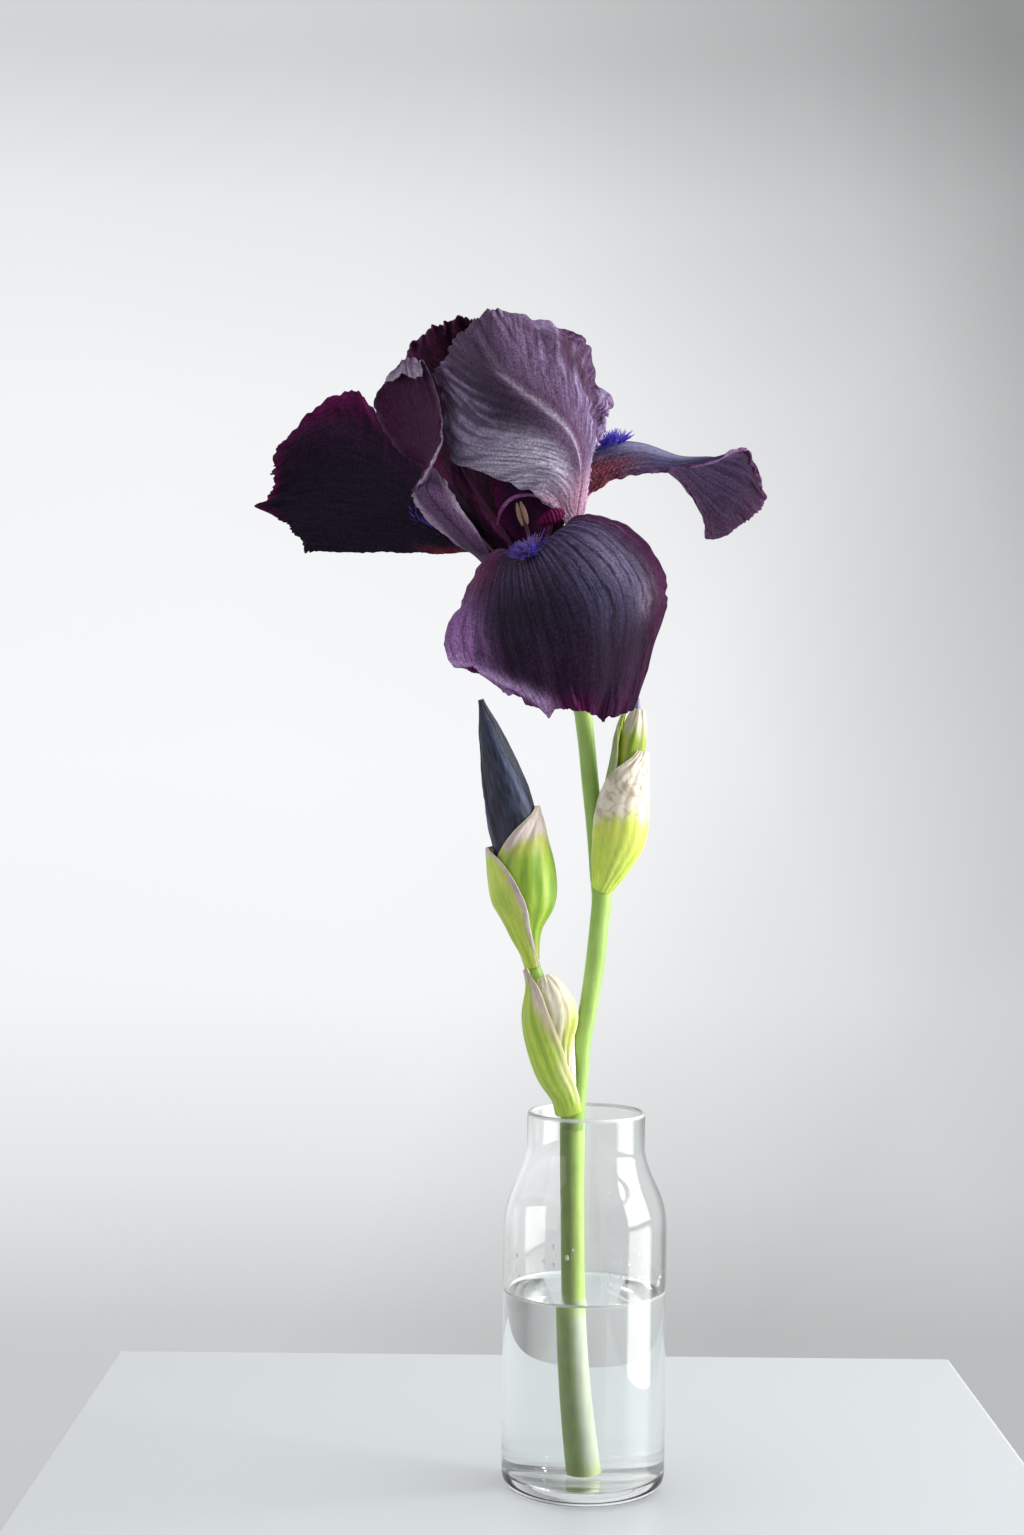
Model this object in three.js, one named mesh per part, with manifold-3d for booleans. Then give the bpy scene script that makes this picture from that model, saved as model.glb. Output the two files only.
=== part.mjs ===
// A flowering stalk of a dark bearded iris standing in water in a small glass bottle vase.
// Millimetres, +Z up, origin at the centre of the vase's foot. The bloom faces -Y.
import * as THREE from "three";
import { mergeVertices } from "three/addons/utils/BufferGeometryUtils.js";
import Module from "manifold-3d";

// Driving dimensions of the vase and its water
const VASE_HEIGHT = 119.5;
const BODY_RADIUS = 26;
const NECK_RADIUS = 18.8;
const FOOT_RADIUS = 20.5;
const GLASS_WALL = 1.5;
const GLASS_FLOOR = 4.6;
const SHOULDER_LOW = 82;
const SHOULDER_HIGH = 108;
const WATER_LEVEL = 62;
const CLEARANCE = 0.3;

// Driving dimensions of the plant
const STALK_RADIUS = 3.7;
const STEM_RADIUS = 2.9;
const BRANCH_RADIUS = 2;
const OVARY_RADIUS = 3.5;
const TUBE_RADIUS = 2.7;
const PETAL_THICKNESS = 0.7;
const BRACT_THICKNESS = 0.7;
const LAYER = BRACT_THICKNESS + 2 * CLEARANCE;
const HAIR_LENGTH = 3.6;
const HAIR_RADIUS = 0.34;

const WELD = 1e-3;
const UP = new THREE.Vector3(0, 0, 1);
const FRONT = new THREE.Vector3(0, -1, 0);
const wasm = await Module();
wasm.setup();

// Small helpers
const degrees = THREE.MathUtils.degToRad;
const vector = (p) => new THREE.Vector3(...p);
const curveThrough = (points) =>
  new THREE.CatmullRomCurve3(points.map(vector), false, "catmullrom", 0.5);

// A number that runs through evenly spaced values as s goes from 0 to 1.
function profile(values) {
  const curve = new THREE.SplineCurve(values.map((v, i) => new THREE.Vector2(i, v)));
  return (s) => curve.getPoint(THREE.MathUtils.clamp(s, 0, 1)).y;
}

// A repeatable stream of numbers between -1 and 1.
function drawsFrom(seed) {
  let state = seed;
  return () => {
    state = (state * 16807) % 2147483647;
    return (2 * state) / 2147483647 - 1;
  };
}

// Solids for joining and cutting
function solidOf(geometry) {
  const loose = geometry.index ? geometry.toNonIndexed() : geometry;
  const bare = new THREE.BufferGeometry();
  bare.setAttribute("position", loose.getAttribute("position"));
  const merged = mergeVertices(bare, WELD);
  return new wasm.Manifold(
    new wasm.Mesh({
      numProp: 3,
      vertProperties: merged.attributes.position.array,
      triVerts: new Uint32Array(merged.index.array),
    }),
  );
}

function geometryOf(solid) {
  const mesh = solid.getMesh();
  const geometry = new THREE.BufferGeometry();
  geometry.setAttribute("position", new THREE.BufferAttribute(mesh.vertProperties, 3));
  geometry.setIndex(new THREE.BufferAttribute(mesh.triVerts, 1));
  geometry.computeVertexNormals();
  return geometry;
}

// The pieces fused into one body; a scrap that a cut leaves loose is dropped.
function fused(geometries) {
  const whole = geometries.map(solidOf).reduce((a, b) => a.add(b));
  const bodies = whole.decompose();
  bodies.sort((a, b) => b.volume() - a.volume());
  return geometryOf(bodies[0]);
}

function cut(geometry, tool) {
  const bodies = solidOf(geometry).subtract(solidOf(tool)).decompose();
  bodies.sort((a, b) => b.volume() - a.volume());
  return geometryOf(bodies[0]);
}

// The smooth surface through rows of points that run from a petal's base to its tip.
function surfaceThrough(rows) {
  const across = rows.map(curveThrough);
  const columns = new Map();
  return (s, t) => {
    if (!columns.has(t)) {
      const points = across.map((curve) => curve.getPoint(t));
      columns.set(t, new THREE.CatmullRomCurve3(points, false, "catmullrom", 0.5));
    }
    return columns.get(t).getPoint(s);
  };
}

// A surface that wraps round a spindle. Angles are in degrees, 0 faces -Y and 90 faces +X.
function wrapRound(spine, radiusAt, fromAt, toAt, low = 0, high = 1) {
  return (s, t) => {
    const at = low + (high - low) * s;
    const tangent = spine.getTangent(at);
    const front = FRONT.clone().addScaledVector(tangent, -FRONT.dot(tangent)).normalize();
    const side = tangent.clone().cross(front);
    const angle = degrees(THREE.MathUtils.lerp(fromAt(s), toAt(s), t));
    return spine
      .getPoint(at)
      .addScaledVector(front, radiusAt(at) * Math.cos(angle))
      .addScaledVector(side, radiusAt(at) * Math.sin(angle));
  };
}

function unitNormals(points, along, across) {
  const at = (i, j) => points[i * (across + 1) + j];
  const normals = [];
  for (let i = 0; i <= along; i++) {
    for (let j = 0; j <= across; j++) {
      const down = at(Math.min(i + 1, along), j).clone().sub(at(Math.max(i - 1, 0), j));
      const over = at(i, Math.min(j + 1, across)).clone().sub(at(i, Math.max(j - 1, 0)));
      normals.push(down.cross(over).normalize());
    }
  }
  return normals;
}

// A closed blade of even thickness on a surface, with an optional wave along its normals.
function blade(surface, { along, across, thickness, wave = () => 0 }) {
  const flat = [];
  for (let i = 0; i <= along; i++) {
    for (let j = 0; j <= across; j++) flat.push(surface(i / along, j / across));
  }
  const lean = unitNormals(flat, along, across);
  const middle = flat.map((p, k) => {
    const s = Math.floor(k / (across + 1)) / along;
    const t = (k % (across + 1)) / across;
    return p.clone().addScaledVector(lean[k], wave(s, t));
  });
  const normals = unitNormals(middle, along, across);
  const count = middle.length;
  const positions = [];
  for (const side of [0.5, -0.5]) {
    middle.forEach((p, k) => {
      const q = p.clone().addScaledVector(normals[k], side * thickness);
      positions.push(q.x, q.y, q.z);
    });
  }
  const top = (i, j) => i * (across + 1) + j;
  const bottom = (i, j) => count + top(i, j);
  const triangles = [];
  for (let i = 0; i < along; i++) {
    for (let j = 0; j < across; j++) {
      triangles.push(top(i, j), top(i + 1, j), top(i, j + 1));
      triangles.push(top(i + 1, j), top(i + 1, j + 1), top(i, j + 1));
      triangles.push(bottom(i, j), bottom(i, j + 1), bottom(i + 1, j));
      triangles.push(bottom(i + 1, j), bottom(i, j + 1), bottom(i + 1, j + 1));
    }
  }
  const rim = (a, b) => {
    triangles.push(top(...a), top(...b), bottom(...b));
    triangles.push(top(...a), bottom(...b), bottom(...a));
  };
  for (let i = 0; i < along; i++) {
    rim([i + 1, 0], [i, 0]);
    rim([i, across], [i + 1, across]);
  }
  for (let j = 0; j < across; j++) {
    rim([0, j], [0, j + 1]);
    rim([along, j + 1], [along, j]);
  }
  const geometry = new THREE.BufferGeometry();
  geometry.setAttribute("position", new THREE.Float32BufferAttribute(positions, 3));
  geometry.setIndex(triangles);
  geometry.computeVertexNormals();
  return geometry;
}

// A closed round body along a curve. radiusAt takes the place along it and the angle round it.
function loft(curve, radiusAt, { steps, sides }) {
  const frames = curve.computeFrenetFrames(steps, false);
  const positions = [];
  for (let i = 0; i <= steps; i++) {
    const centre = curve.getPointAt(i / steps);
    for (let j = 0; j < sides; j++) {
      const angle = (2 * Math.PI * j) / sides;
      const p = centre
        .clone()
        .addScaledVector(frames.normals[i], radiusAt(i / steps, angle) * Math.cos(angle))
        .addScaledVector(frames.binormals[i], radiusAt(i / steps, angle) * Math.sin(angle));
      positions.push(p.x, p.y, p.z);
    }
  }
  const ends = positions.length / 3;
  for (const u of [0, 1]) positions.push(...curve.getPointAt(u).toArray());
  const at = (i, j) => i * sides + (j % sides);
  const triangles = [];
  for (let j = 0; j < sides; j++) {
    for (let i = 0; i < steps; i++) {
      triangles.push(at(i, j), at(i, j + 1), at(i + 1, j));
      triangles.push(at(i + 1, j), at(i, j + 1), at(i + 1, j + 1));
    }
    triangles.push(ends, at(0, j + 1), at(0, j));
    triangles.push(ends + 1, at(steps, j), at(steps, j + 1));
  }
  const geometry = new THREE.BufferGeometry();
  geometry.setAttribute("position", new THREE.Float32BufferAttribute(positions, 3));
  geometry.setIndex(triangles);
  geometry.computeVertexNormals();
  return geometry;
}

// Vase: one turned glass wall with a heavy floor, a sloping shoulder and a rounded lip
const LATHE_SEGMENTS = 30;
const HEEL = 6;

// Turns an outline of radii and heights about the vertical axis.
function turned(outline) {
  return new THREE.LatheGeometry(outline.getPoints(4), LATHE_SEGMENTS).rotateX(Math.PI / 2);
}

function makeVase() {
  const inside = BODY_RADIUS - GLASS_WALL;
  const bore = NECK_RADIUS - GLASS_WALL;
  const lip = VASE_HEIGHT - 1.3;
  const outline = new THREE.Path()
    .moveTo(0, 0)
    .lineTo(FOOT_RADIUS, 0)
    .quadraticCurveTo(BODY_RADIUS, 0, BODY_RADIUS, HEEL)
    .lineTo(BODY_RADIUS, SHOULDER_LOW)
    .bezierCurveTo(BODY_RADIUS, 94, 20, 98, NECK_RADIUS, SHOULDER_HIGH)
    .lineTo(NECK_RADIUS, lip)
    .quadraticCurveTo(NECK_RADIUS, VASE_HEIGHT, NECK_RADIUS - GLASS_WALL / 2, VASE_HEIGHT)
    .quadraticCurveTo(bore, VASE_HEIGHT, bore, lip)
    .lineTo(bore, SHOULDER_HIGH)
    .bezierCurveTo(20 - GLASS_WALL, 98, inside, 94, inside, SHOULDER_LOW)
    .lineTo(inside, GLASS_FLOOR + 4)
    .quadraticCurveTo(inside, GLASS_FLOOR, inside - 4, GLASS_FLOOR)
    .lineTo(0, GLASS_FLOOR);
  return turned(outline);
}

// Stalk: the cut stem in the vase, the side branch from its node, and the stem to the bloom
const stalkPath = curveThrough([
  [0.3, 3, GLASS_FLOOR + 1],
  [-2.2, -1.2, 34],
  [-3.7, -5, 62],
  [-4.4, -8.8, 92],
  [-4.7, -11.8, 118],
]);
const stemPath = curveThrough([
  [-4.7, -12.2, 116],
  [-3.6, -12.8, 124.7],
  [-2.6, -13.1, 134],
  [-1.9, -13.1, 143.5],
  [0.2, -12.8, 156],
  [2, -12.2, 168.6],
  [3.1, -11.4, 180],
  [3.9, -10.4, 189],
  [2.9, -9, 198],
  [1.3, -7.8, 212.5],
  [-0.1, -7, 225],
  [-1.2, -6.6, 236],
  [-2.4, -6.4, 245.6],
]);
const branchPath = curveThrough([
  [-5.2, -12.6, 117],
  [-8.6, -15.2, 128],
  [-10.6, -15.8, 140],
  [-12.8, -15.6, 151],
  [-15.4, -15, 160.9],
  [-17.6, -13.2, 167.6],
]);
const budStubPath = curveThrough([
  [3.6, -10.6, 189],
  [6, -12.2, 194.5],
  [8.3, -13, 200],
]);

function makeStalk() {
  const cane = profile([4, 3.8, STALK_RADIUS, STALK_RADIUS, 3.8]);
  const stem = profile([3.5, 2.95, 2.8, 2.8, STEM_RADIUS, 3.05, 3, 3.3, 2.9, 2.7, 2.7, 2.7, 2.8]);
  const branch = profile([2.4, 2.1, BRANCH_RADIUS, BRANCH_RADIUS, 2.1]);
  return fused([
    loft(stalkPath, (s) => cane(s), { steps: 8, sides: 14 }),
    loft(stemPath, (s) => stem(s), { steps: 16, sides: 12 }),
    loft(branchPath, (s) => branch(s), { steps: 8, sides: 10 }),
    loft(budStubPath, () => 1.6, { steps: 3, sides: 8 }),
  ]);
}

function makeWater() {
  const meniscus = 1.2;
  const radius = BODY_RADIUS - GLASS_WALL - CLEARANCE;
  const floor = GLASS_FLOOR + CLEARANCE;
  const outline = new THREE.Path()
    .moveTo(0, floor)
    .lineTo(radius - 4, floor)
    .quadraticCurveTo(radius, floor, radius, floor + 4)
    .lineTo(radius, WATER_LEVEL + meniscus)
    .quadraticCurveTo(radius - 0.2, WATER_LEVEL, radius - 2.2, WATER_LEVEL)
    .lineTo(0, WATER_LEVEL);
  const under = curveThrough([
    [0.9, 4, -2],
    [0.3, 3, GLASS_FLOOR + CLEARANCE],
    [-2.2, -1.2, 34],
    [-3.7, -5, 62],
    [-4.4, -8.8, 92],
  ]);
  const hole = profile([4.3, 4.3, 4.1, 4, 4]);
  return cut(turned(outline), loft(under, (s) => hole(s) + CLEARANCE, { steps: 7, sides: 12 }));
}

// Ovary and flower tube: the swollen top of the stem and the tube that flares into the petals
const bloomBase = new THREE.Vector3(-18, -3, 281);
const tubePath = curveThrough([
  [-2.4, -6.4, 246.4],
  [-4, -6.3, 253],
  [-9.4, -5.2, 262],
  [-15, -3.8, 271],
  bloomBase.toArray(),
]);

function makeFlowerTube() {
  const radius = profile([3, OVARY_RADIUS, OVARY_RADIUS, TUBE_RADIUS, TUBE_RADIUS, 3.6, 6]);
  const ribs = (angle) => 1 + 0.06 * Math.cos(3 * angle);
  return loft(tubePath, (s, angle) => radius(s) * ribs(angle), { steps: 10, sides: 15 });
}

// Side bud: a rolled dark bud in two green valves
const budPath = curveThrough([
  [-17.8, -13, 168.1],
  [-19.5, -13, 177.6],
  [-19.9, -13, 186.5],
  [-20.8, -13, 195.5],
  [-22.3, -13, 204.6],
  [-24.6, -13, 213.7],
  [-26.8, -13, 222.8],
  [-29.4, -13, 231.8],
  [-32.1, -13, 240.9],
  [-34.8, -13, 250],
]);
const budRadius = profile([1.2, 2.6, 7, 8.3, 8.1, 7.7, 6.9, 5.2, 3.3, 0.9]);
const valveRadius = profile([2.1, 4.4, 9, 9.9, 9.1, 8.8, 7.9, 6, 4, 1.6]);

function makeSideBud() {
  const pleats = (angle, s) => 1 + 0.03 * Math.cos(3 * angle + 4 * s);
  return loft(budPath, (s, angle) => budRadius(s) * pleats(angle, s), { steps: 13, sides: 14 });
}

const valve = (surface, along, across) =>
  blade(surface, { along, across, thickness: BRACT_THICKNESS });

// Right of the side bud, its left margin under the other valve
function makeSideBractRight() {
  const from = profile([-75, -75, -75, -75, -75, -68, -48, -6, 62]);
  const to = profile([190, 190, 190, 190, 190, 190, 180, 165, 140]);
  return valve(wrapRound(budPath, valveRadius, from, to, 0.005, 0.57), 12, 10);
}

// Left and in front, its papery margin crossing the other valve
function makeSideBractLeft() {
  const radius = (at) => valveRadius(at) + LAYER;
  const from = profile([-190, -190, -190, -190, -188, -182, -172, -158, -130]);
  const to = profile([35, 20, 10, 4, -2, -11, -22, -39, -66]);
  return valve(wrapRound(budPath, radius, from, to, 0.005, 0.46), 12, 9);
}

// Lower bracts: a green boat-shaped one at the left, and a papery one between it and the stem
const outerNodePath = curveThrough([
  [-5.4, -12.8, 121.5],
  [-6.8, -14, 127.2],
  [-10.2, -16.4, 135],
  [-12, -17, 144],
  [-13.2, -17, 152],
  [-15, -16.2, 160],
  [-18, -14.6, 166.5],
]);
const outerNodeRadius = profile([4.7, 5, 6.4, 7.6, 7.6, 5, 2.6]);
const innerNodePath = curveThrough([
  [-7, -15.2, 129.5],
  [-8.4, -15.6, 136],
  [-9.9, -16.2, 144],
  [-10.1, -16, 152],
  [-12.4, -15.8, 159],
  [-14.6, -15.4, 163.5],
]);
const innerNodeRadius = profile([3.7, 4.3, 5.2, 6.4, 5, 2.8]);

function makeLowerBractLeft() {
  const from = profile([-150, -160, -165, -165, -160, -140, -110]);
  const to = profile([50, 42, 38, 22, 6, -8, -30]);
  return valve(wrapRound(outerNodePath, outerNodeRadius, from, to), 12, 9);
}

function makeLowerBractRight() {
  const from = profile([-20, -50, -80, -90, -80, -40]);
  const to = profile([55, 74, 120, 150, 150, 130]);
  return valve(wrapRound(innerNodePath, innerNodeRadius, from, to), 10, 8);
}

// Upper bracts: the sheath beside the stem, its inner valve, and the small bud between them
const sheathPath = curveThrough([
  [4.6, -11.8, 194],
  [7, -12.6, 201],
  [8.9, -13, 208],
  [9.8, -13, 217],
  [10.6, -13, 226],
  [12.2, -13, 235],
]);
const sheathRadius = profile([4.4, 6.8, 8.3, 8.3, 7.3, 5.8]);
const smallBudPath = curveThrough([
  [8.6, -13.2, 200.6],
  [9.8, -13.3, 210.6],
  [10.8, -13.2, 220.7],
  [12.1, -13, 230.8],
  [13.4, -13, 240.9],
  [14.5, -13, 251],
]);
const smallBudRadius = profile([1.3, 2.8, 3.5, 3.4, 2.8, 0.6]);

function makeUpperSheath() {
  const from = profile([-70, -84, -84, -78, -45, 20]);
  const to = profile([110, 130, 140, 140, 130, 110]);
  return valve(wrapRound(sheathPath, sheathRadius, from, to), 12, 9);
}

function makeUpperInnerBract() {
  const radius = profile([3.2, 5.2, 6.6, 6.1, 5.4, 3.2]);
  const from = profile([-160, -165, -165, -160, -130]);
  const to = profile([-20, -20, -35, -50, -80]);
  return valve(wrapRound(smallBudPath, radius, from, to, 0.04, 0.9), 10, 6);
}

function makeSmallBudBract() {
  const radius = (at) => smallBudRadius(at) + 2 * CLEARANCE + BRACT_THICKNESS / 2;
  const from = profile([-150, -150, -150, -120, -60]);
  const to = profile([170, 170, 160, 140, 100]);
  return valve(wrapRound(smallBudPath, radius, from, to, 0.05, 0.93), 10, 8);
}

function makeSmallBud() {
  return loft(smallBudPath, smallBudRadius, { steps: 10, sides: 10 });
}

// Petals. Each row runs from one margin to the other, and the rows from the claw to the tip.
const petals = {
  // hangs down in front, its upper face to the viewer
  fall_front: [
    [[-19.4, -7.9, 281.7], [-18.8, -8.2, 281.8], [-18, -8.4, 282], [-17, -8.2, 282.2], [-16, -7.5, 282.4]],
    [[-26.2, -13.4, 296], [-24, -15.5, 293], [-20, -16.5, 292], [-15.5, -16, 295], [-12, -14.6, 299]],
    [[-34, -16, 294], [-27, -24, 292], [-20, -29, 294], [-12, -26, 301], [-4.5, -20, 307]],
    [[-40, -24, 283], [-29, -36, 283], [-17, -43, 285], [-3, -39, 295], [10, -25, 302.8]],
    [[-45, -34, 271], [-29, -45, 271], [-13, -51, 274], [6, -46, 282], [21, -29, 290]],
    [[-44, -43, 261], [-27, -51, 261], [-10, -55, 264], [7, -50, 268], [22.4, -33, 280]],
    [[-39, -45, 258], [-23, -53, 253], [-8, -56, 254], [6, -52, 257], [17, -41, 265]],
    [[-29, -48, 254], [-18, -52, 247], [-6, -54, 246], [3, -52, 244], [10.4, -45, 246]],
  ],
  // stands out to the left, its upper face turned to the viewer
  fall_left: [
    [[-22.2, -1.2, 280], [-22.9, -1.6, 280], [-23.2, -2.2, 280], [-23.1, -2.9, 280], [-22.6, -3.6, 280]],
    [[-36, 2, 306], [-38, -4, 301], [-38, -7, 298], [-37, -7, 296.5], [-35, -6, 295.5]],
    [[-50, 9, 319], [-51, 1, 311], [-50, -5, 304], [-49, -7, 299], [-47, -7, 296]],
    [[-63, 15, 338], [-63, 9, 325], [-63, 2, 311], [-62, -3, 302], [-60, -5, 296.5]],
    [[-78, 17, 350], [-79, 13, 332], [-79, 6, 314], [-77, 0, 303], [-75, -3, 297]],
    [[-91, 15, 344], [-93, 11, 329], [-93, 6, 314], [-90, 1, 304], [-86, -2, 297]],
    [[-102.5, 10, 332], [-103, 8, 322], [-108.5, 5, 312], [-96.5, 2, 305], [-90.5, 0, 296.5]],
  ],
  // reaches out to the right and back as a saddle, then drops
  fall_right: [
    [[-13.2, -3, 282.9], [-12.8, -2, 282.9], [-12.6, -1, 282.9], [-12.8, 0, 282.8], [-13.2, 1, 282.7]],
    [[-8, -5.5, 298], [-7.5, -3.5, 301], [-7, 0, 303], [-7.5, 3.5, 301], [-8, 6, 298]],
    [[-4, -3, 313], [-2.5, -3.5, 321], [-1.5, 2, 328], [-1, 8, 324], [-2, 10, 315]],
    [[4, 0, 319], [4.5, -0.5, 326], [5, 6, 333.5], [5, 12, 329], [4, 15, 321]],
    [[14.5, 4, 323], [15, 5, 329], [16, 13, 334.5], [16, 21, 333], [15, 27, 328]],
    [[27.5, 10, 325.5], [28, 13, 328.5], [29, 23, 332], [29, 34, 331.5], [28, 41, 329]],
    [[39, 12, 328.5], [39.5, 17, 330.5], [40, 27, 331], [39.5, 37, 323], [38.5, 43, 315.5]],
    [[48.5, 16, 334], [51, 20, 332], [52, 29, 326], [48, 37, 317], [40, 42, 306.5]],
    [[51, 19, 332], [55.5, 23, 325], [58, 28, 317.5], [53.5, 34, 312.5], [46.5, 39, 307.5]],
  ],
  // arches over the flower's heart from the front right, its back to the viewer
  standard_front: [
    [[-14.4, -7.4, 283], [-13.7, -6.8, 283], [-13.2, -6.1, 283], [-12.9, -5.3, 283], [-12.8, -4.5, 283]],
    [[-9, -11.6, 303], [-8, -12.4, 303], [-6.5, -12.4, 304], [-5, -11.6, 305], [-4.4, -9.6, 305]],
    [[-12, -15, 309], [-9, -17, 310], [-5, -17.4, 311.5], [-3.4, -16, 312.5], [-2.2, -13, 313]],
    [[-20, -24, 315], [-12, -29, 317], [-5, -26, 319], [-2, -21, 323], [0, -13, 329]],
    [[-29, -23, 318], [-19, -33, 322], [-9, -33, 327], [-3, -26, 332], [1.8, -13, 337]],
    [[-45, -19, 325], [-33, -34, 330], [-19, -38, 336], [-6, -31, 342], [3, -14, 344]],
    [[-47, -11, 342], [-39, -27, 344], [-30, -34, 349], [-14, -29, 355], [1, -13, 356.5]],
    [[-50, -7, 353], [-46, -15, 359], [-37, -21, 368], [-25, -19, 370], [-4.5, -12, 364]],
  ],
  // rises at the front left and twists, so that its inner face shows above
  standard_left: [
    [[-22.6, -4.8, 280.5], [-22.4, -5.6, 280.5], [-22, -6.3, 280.5], [-21.7, -6.7, 281], [-21.3, -7, 281]],
    [[-36, -12, 294], [-35, -13, 293.6], [-34, -13.6, 293.6], [-33, -14, 294], [-32, -14, 295]],
    [[-43, -20, 298], [-42, -22, 299], [-40, -24, 300], [-38.5, -24, 302], [-37, -22, 303]],
    [[-51, -22, 305], [-49, -26, 306], [-47, -29, 307], [-44, -29, 308], [-42, -26, 309]],
    [[-56, -23, 312], [-55, -27, 313], [-52, -29, 314], [-48, -25, 315], [-46, -18, 316]],
    [[-53, -31, 317], [-52, -26, 318], [-51, -19, 320], [-50, -10, 322], [-52, -2, 324]],
    [[-47, -32, 326], [-50, -22, 327], [-54, -12, 329], [-58, -3, 330], [-61, 4, 330]],
    [[-47, -27, 334], [-51, -18, 336], [-56, -7, 338], [-62, 3, 340], [-67, 8, 338]],
    [[-49, -20, 343], [-54, -11, 346], [-60, -2, 349], [-66, 4, 349], [-70.5, 8, 346]],
    [[-54, -16, 355], [-58, -10, 357], [-61, -5, 357], [-64, 0, 355], [-66, 4, 353]],
    [[-54, -21, 350], [-57, -16, 350], [-60, -11, 352], [-63, -5, 352], [-66.5, -1, 351]],
  ],
  // closes the dome at the back, its inner face to the viewer
  standard_back: [
    [[-20, 1.4, 281], [-19, 1.9, 281.1], [-18, 2.1, 281.2], [-17, 1.9, 281.4], [-16, 1.4, 281.8]],
    [[-31, 6, 291], [-25, 8, 290], [-20, 9, 289], [-15.5, 8, 290], [-12.5, 6.5, 291]],
    [[-42, 10, 305], [-33, 13, 303], [-22, 15, 302], [-14, 12.5, 303], [-9.5, 9.5, 305]],
    [[-49, 16, 319], [-38, 20, 317], [-24, 23, 317], [-13, 20, 317], [-6.5, 15, 319]],
    [[-53, 20, 333], [-39, 28, 335], [-26, 31, 337], [-14, 27, 335], [-4, 19, 332]],
    [[-59, 20, 346], [-47, 29, 351], [-32, 33, 355], [-15, 28, 352], [-1, 19, 346]],
    [[-61.5, 15, 356], [-53, 24, 364], [-38, 28, 368], [-20, 24, 366], [-4, 15, 358]],
    [[-60, 11, 363], [-53, 14, 371.5], [-42, 16, 375], [-29, 15, 373], [-13, 11, 366]],
  ],
};

// How strongly each petal's margin waves, how many waves it has, and how finely it is built
const petalBuild = {
  fall_front: { height: 0.9, waves: 3.5, along: 16, across: 12 },
  fall_left: { height: 1, waves: 3.5, along: 14, across: 10 },
  fall_right: { height: 0.7, waves: 3.5, along: 18, across: 8 },
  standard_front: { height: 0.9, waves: 3.5, along: 16, across: 10 },
  standard_left: { height: 0.6, waves: 4, along: 20, across: 8 },
  standard_back: { height: 1.1, waves: 3.5, along: 12, across: 10 },
};

function makePetal(name, thickness = PETAL_THICKNESS) {
  const { height, waves, along, across } = petalBuild[name];
  const wave = (s, t) => {
    const side = Math.abs(2 * t - 1);
    const margin = Math.max(side ** 3 * Math.min(1, 2 * s), Math.max(0, s - 0.7) / 0.3);
    const phase = s * (1 - 0.5 * side) + (t > 0.5 ? 0.13 : 0) + 0.6 * t;
    return height * margin * Math.sin(2 * Math.PI * waves * phase);
  };
  return blade(surfaceThrough(petals[name]), { along, across, thickness, wave });
}

// Style: a short column that splits into three arms, each with a pair of upturned crests
const styleArms = [
  [
    [[-20, -5.5, 289], [-19, -6, 289], [-18.3, -6.2, 289], [-17.5, -6, 289], [-16.5, -5.5, 289]],
    [[-23, -8.5, 299], [-21, -10, 300], [-19, -10.6, 300.5], [-17, -10, 300], [-15, -8.5, 299]],
    [[-26, -12.5, 307], [-23, -14.5, 309], [-20, -15.5, 309.5], [-17, -14.5, 309], [-14, -12.5, 307]],
    [[-27, -16.5, 312], [-24, -18, 314], [-20.5, -18.5, 314], [-17, -18, 314], [-13.5, -16.5, 312]],
    [[-29, -18, 319], [-25, -19, 324], [-20.5, -18.5, 317], [-16, -19, 324], [-12.5, -18, 319]],
  ],
  [
    [[-20, -5, 289], [-20.6, -4.2, 289], [-20.8, -3.4, 289], [-20.6, -2.5, 289], [-20, -1.7, 289]],
    [[-24, -8.5, 295], [-26, -7, 299.5], [-26.3, -4, 301], [-26, -2, 300], [-25, 0, 298.5]],
    [[-30, -10.5, 302], [-32, -8.2, 308], [-32.4, -4, 310], [-32, -1, 308.5], [-31, 2, 306.5]],
    [[-35, -11, 308], [-37, -8.2, 315], [-37.5, -4, 317], [-37, -1, 316], [-36, 2.5, 313.5]],
    [[-42, -8, 320], [-43, -6.5, 325], [-40, -4, 319], [-43, -1, 325], [-42, 3, 320]],
  ],
  [
    [[-16.6, -5, 289], [-15.8, -4, 289], [-15.4, -2.8, 289], [-15.6, -1.6, 289], [-16.4, -0.8, 289]],
    [[-15.5, -5, 301], [-14.3, -3, 301.5], [-13.8, -0.5, 302], [-14.3, 2, 301.5], [-15.5, 4, 301]],
    [[-12.5, -5, 312], [-11.2, -2, 313], [-10.5, 1, 313.5], [-11.2, 4.5, 313], [-13, 7, 312]],
    [[-10.5, -4.5, 320], [-9.2, -1.5, 321], [-8.5, 2, 321.5], [-9.2, 6, 321], [-11, 9, 320]],
    [[-9.5, -4.5, 326], [-8, -1.5, 331], [-7, 2.5, 325], [-8, 7, 331], [-9.5, 11, 326]],
  ],
];

function makeStyle() {
  const column = curveThrough([
    [-18, -3.2, 282.2],
    [-18.1, -3.3, 286],
    [-18.2, -3.5, 291],
  ]);
  const thick = profile([1.8, 1.9, 3]);
  const arms = styleArms.map((rows) =>
    blade(surfaceThrough(rows), { along: 8, across: 6, thickness: 0.9 }),
  );
  return fused([loft(column, (s) => thick(s), { steps: 4, sides: 12 }), ...arms]);
}

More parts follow.
